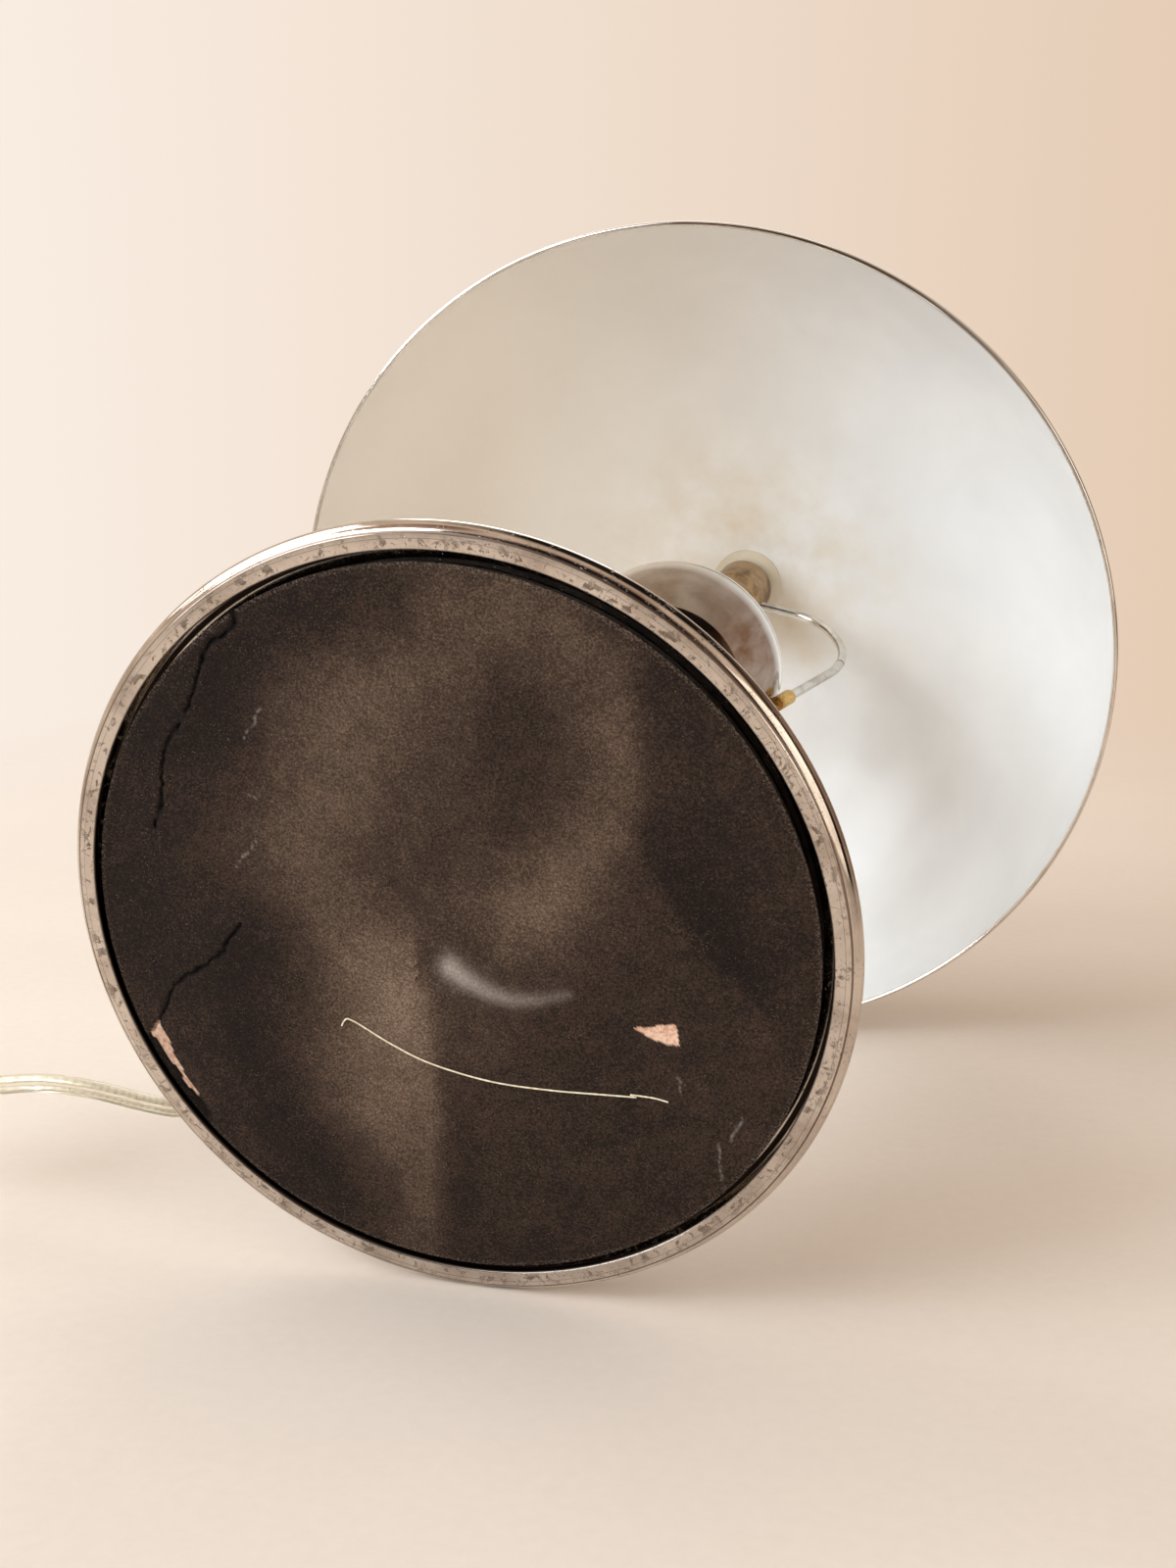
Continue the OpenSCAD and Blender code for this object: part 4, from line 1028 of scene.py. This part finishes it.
def harpLine(h, way):
    turn = radians(h["bowEnd"])
    bowZ = h["top"] - h["bow"] * sin(turn) - h["shoulder"] * (1 - sin(turn))
    leg = (h["foot"][0] - h["bowCentre"], h["foot"][1] - bowZ)
    start = degrees(atan2(leg[1], leg[0]) + acos(h["bow"] / hypot(*leg)))
    side = [h["foot"]]
    bow = arc((h["bowCentre"], bowZ), h["bow"], start, h["bowEnd"], 36)
    lean = (bow[0][0] - side[0][0], bow[0][1] - side[0][1])
    side += [(side[0][0] + lean[0] * t, side[0][1] + lean[1] * t) for t in (0.25, 0.5, 0.75)]
    side += bow
    reach = h["bow"] - h["shoulder"]
    centre = (h["bowCentre"] + reach * cos(turn), bowZ + reach * sin(turn))
    side += arc(centre, h["shoulder"], h["bowEnd"], 90, 20)[1:]
    side += [(centre[0] * 0.5, h["top"]), (h["end"], h["top"])]
    return [Vector((way * x, 0, z)) for x, z in side]


for name, node, way in (("harpRight", "harp_arm_right", 1), ("harpLeft", "harp_arm_left", -1)):
    addPiece(name, swept(name, harpLine(harp, way), "wireChrome", harp["wire"], sides=32),
             "wireChrome", [node])
dressed("harpFerrules", "plainBrass", slot="tarnished_brass")

# Swivel: the hub, its ring and cap, and the stud whose ball turns and tilts in them

dressed("swivelHub", "darkBrass")
dressed("swivelSeat", "nylon", 0.0002, body="swivel")
dressed("swivelCap", "darkBrass")
dressed("ballStud", "plainBrass", 0, body="shade_group")
print("harp and swivel made")

# Shade: a spun dome, chromed outside and enamelled inside, held by its seat, washer and knob

shade = {"radius": 0.139, "rise": 0.09254, "rim": 0.23248, "crown": 0.015, "hole": 0.00305,
         "wall": 0.0009, "plating": 0.0006, "bead": 0.00075, "around": 256}


def domed(name, look, depth, wall, nodes=()):
    values = {"Rim Radius": shade["radius"] - depth, "Rise": shade["rise"] - depth,
              "Rim Height": shade["rim"], "Crown Radius": shade["crown"],
              "Hole Radius": shade["hole"], "Wall": wall, "Around": shade["around"],
              "Rows": 72, "Material": looks[look]}
    mesh = grown(name, bpy.data.meshes.new(name), dome, values)
    addPiece(name, mesh, look, nodes, "shade_group")


domed("shadeShell", "shadeChrome", 0, shade["plating"], ["shade"])
domed("shadeEnamel", "whiteEnamel", shade["plating"], shade["wall"] - shade["plating"])
rimLine = [Vector((x, y, shade["rim"])) for x, y in
           arc((0, 0), shade["radius"] - shade["wall"] / 2, 0, 360 - 360 / shade["around"],
               shade["around"] - 1)]
addPiece("shadeRim", swept("shadeRim", rimLine, "shadeChrome", 2 * shade["bead"], sides=16,
                           closed=True), "shadeChrome", body="shade_group")
dressed("shadeSeat", "seatPaint", 0.0002, body="shade_group")
dressed("shadeWasher", "steelFixings", 0.0002, body="shade_group")

knob = {"low": 0.32574, "radius": 0.0085, "high": 0.015, "bore": 0.00296}


def knobOutline(k):
    r, z, ball = k["radius"], k["low"], k["high"] * 0.62
    side = [(k["bore"], z), (r - 0.0012, z), (r - 0.0008, z + 0.0008)]
    side += bent((r - 0.0016, z + 0.0018), (r * 0.5, z + 0.0026), (r * 0.55, z + k["high"] - ball),
                 10)
    for i in range(1, 29):
        a = radians(-56 + 146 * i / 28)
        side.append((max(r * cos(a), 0), z + k["high"] - ball / 2 + ball / 2 * sin(a)))
    return side + [(0, z + k["high"] * 0.7 + 0.001), (k["bore"], z + k["high"] * 0.7 + 0.001)]


turned("turnedKnob", knobOutline(knob), "knobChrome", "knob", 96, body="knob_group")
print("shade and knob made")

# Stage: the table that the lamp lies on in the photograph, and the floor it stands on

table = {"normal": (0.2212, 0.9576, -0.1829), "offset": 0.0938, "reach": 1.6,
         "near": (0, 0, 0.15), "fade": (0.3, 1.0), "colour": (240, 229, 219)}
standing = {"reach": 1.2, "height": -0.0002, "fade": (0.35, 1.1), "colour": (240, 228, 214)}


def stageLook(name, facts, fromAbove):
    # a pale ground that fades out at its edge; from its back it isn't there
    look = Look(name)
    grain = look.mix(0.45, look.noise(9, 4, 0.5), look.noise(240, 5, 0.65))
    darker = tuple(c * 0.965 for c in facts["colour"])
    look.painted(look.mix(look.spread(grain, 0, 1), darker, facts["colour"]), 0.9)
    edge = look.spread(look.radius(scale=(1, 1, 1)), 0, 1, *facts["fade"])
    hidden = look.most(edge, look.put("ShaderNodeNewGeometry", out="Backfacing"))
    if fromAbove:
        seen = look.put("ShaderNodeLightPath", out="Is Camera Ray")
        hidden = look.most(hidden, look.math("SUBTRACT", 1.0, seen))
    look.feed(look.output.inputs[0], look.put("ShaderNodeMixShader", {
        0: hidden, 1: look.shader.outputs[0], 2: look.put("ShaderNodeBsdfTransparent")}))
    return look.material


def addGround(name, centre, up, reach, material):
    # a round sheet round a point, whose vertices are placed about the object's own origin
    made = bmesh.new()
    bmesh.ops.create_circle(made, cap_ends=True, segments=96, radius=reach)
    turn = Vector(up).to_track_quat("Z", "Y").to_matrix().to_4x4()
    ground = placed(name, meshOf(name, made), Matrix.Translation(centre) @ turn)
    ground.data.materials.append(material)


tableNormal = Vector(table["normal"])
tableUp = -tableNormal.normalized()
tableCentre = tableNormal * table["offset"] + Vector(table["near"])
tableCentre -= tableNormal * (tableCentre.dot(tableNormal) - table["offset"])
addGround("lieTable", tableCentre, tableUp, table["reach"], stageLook("tablePaper", table, False))
addGround("standFloor", (0, 0, standing["height"]), (0, 0, 1), standing["reach"],
          stageLook("floorPaper", standing, True))


def inView(side):
    # a direction given as (right, up from the table, away from the camera)
    forward = Vector(camera["forward"])
    ahead = (forward - tableUp * forward.dot(tableUp)).normalized()
    return (Vector(camera["right"]) * side[0] + tableUp * side[1] + ahead * side[2]).normalized()


def addWorld(room):
    # pale for the camera and for reflections, except behind the camera, where it is dim
    world = bpy.data.worlds.new("room")
    world.use_nodes = True
    scene.world = world
    nodes = Nodes(world.node_tree)
    nodes.tree.nodes.clear()
    path = nodes.add("ShaderNodeLightPath").outputs
    way = nodes.put("ShaderNodeTexCoord", out="Generated")
    near = nodes.math("MULTIPLY_ADD", nodes.along(way, room["way"]), room["share"],
                      nodes.noise(room["patches"], 0.5, 0.5, 0, way))
    reflected = nodes.ramp(near, *room["colours"], way="LINEAR")
    for card in room["cards"]:
        full, end = (cos(radians(a)) for a in card["reach"])
        share = nodes.spread(nodes.along(way, inView(card["side"])), 0, 1, end, full)
        reflected = nodes.mix(share, reflected, card["colour"])
    wash = nodes.spread(nodes.along(way, camera["right"]), 0, 1, -0.3, 0.3)
    backdrop = nodes.mix(wash, room["left"], room["right"])
    shown = nodes.mix(path["Is Camera Ray"], reflected, backdrop)
    sharp = nodes.most(nodes.most(path["Is Camera Ray"], path["Is Glossy Ray"]),
                       path["Is Transmission Ray"])
    lights = [nodes.put("ShaderNodeBackground", {"Color": colour, "Strength": strength})
              for colour, strength in ((room["fill"], room["strength"]), (shown, 1.0))]
    nodes.feed(nodes.add("ShaderNodeOutputWorld").inputs[0],
               nodes.put("ShaderNodeMixShader", enumerate((sharp, *lights))))


def addLight(name, side, distance, size, power, colour):
    # a soft light, upright in the view; size is (width, height), side as for inView
    way = inView(side)
    data = bpy.data.lights.new(name, "AREA")
    data.shape = "RECTANGLE"
    data.size, data.size_y = size
    data.energy = power
    data.color = colour
    level = tableUp.cross(way).normalized()
    turn = Matrix((level, way.cross(level), way)).transposed()
    place = Vector((0, 0, 0.2)) + way * distance
    placed(name, data, Matrix.Translation(place) @ turn.to_4x4())


addWorld({
    "way": (0.2033, -0.3960, -0.8955), "patches": 1.6, "share": 0.3,
    "colours": [(0.5, (238, 219, 199)), (0.6, (202, 174, 154)), (0.68, (126, 102, 88)),
                (0.78, (38, 31, 29))],
    "left": (250, 238, 227), "right": (228, 203, 180), "fill": (238, 216, 192), "strength": 0.6,
    "cards": [  # each is full within the first angle of its reach and gone at the second
        {"side": (0.82, 0.30, 0.50), "reach": (16, 40), "colour": (150, 122, 102)},
        {"side": (0.50, -0.22, 0.84), "reach": (8, 20), "colour": (138, 106, 82)},
        {"side": (0.40, 0.88, 0.20), "reach": (22, 40), "colour": (34, 28, 25)},
        {"side": (0.06, 0.60, 0.78), "reach": (12, 20), "colour": (255, 253, 250)},
    ],
})
addLight("windowLight", (-0.82, 0.68, 0.16), 2.2, (1.5, 1.5), 18, (0.93, 0.97, 1.0))
addLight("frontLight", (-0.9, 0.52, -0.6), 1.9, (1.1, 1.1), 26, (0.86, 0.94, 1.0))
addLight("fillLight", (0.8, 0.16, -0.9), 1.8, (1.2, 1.2), 7, (1.0, 0.93, 0.84))
addLight("stripLight", (-0.79, 0.03, -0.62), 1.5, (0.1, 0.5), 3, (0.8, 0.9, 1.0))
addLight("backLight", (0.03, 0.6, 0.77), 1.6, (0.8, 0.5), 4, (1.0, 0.99, 0.97))
scene.view_settings.view_transform = "Standard"
print("stage and lights made")
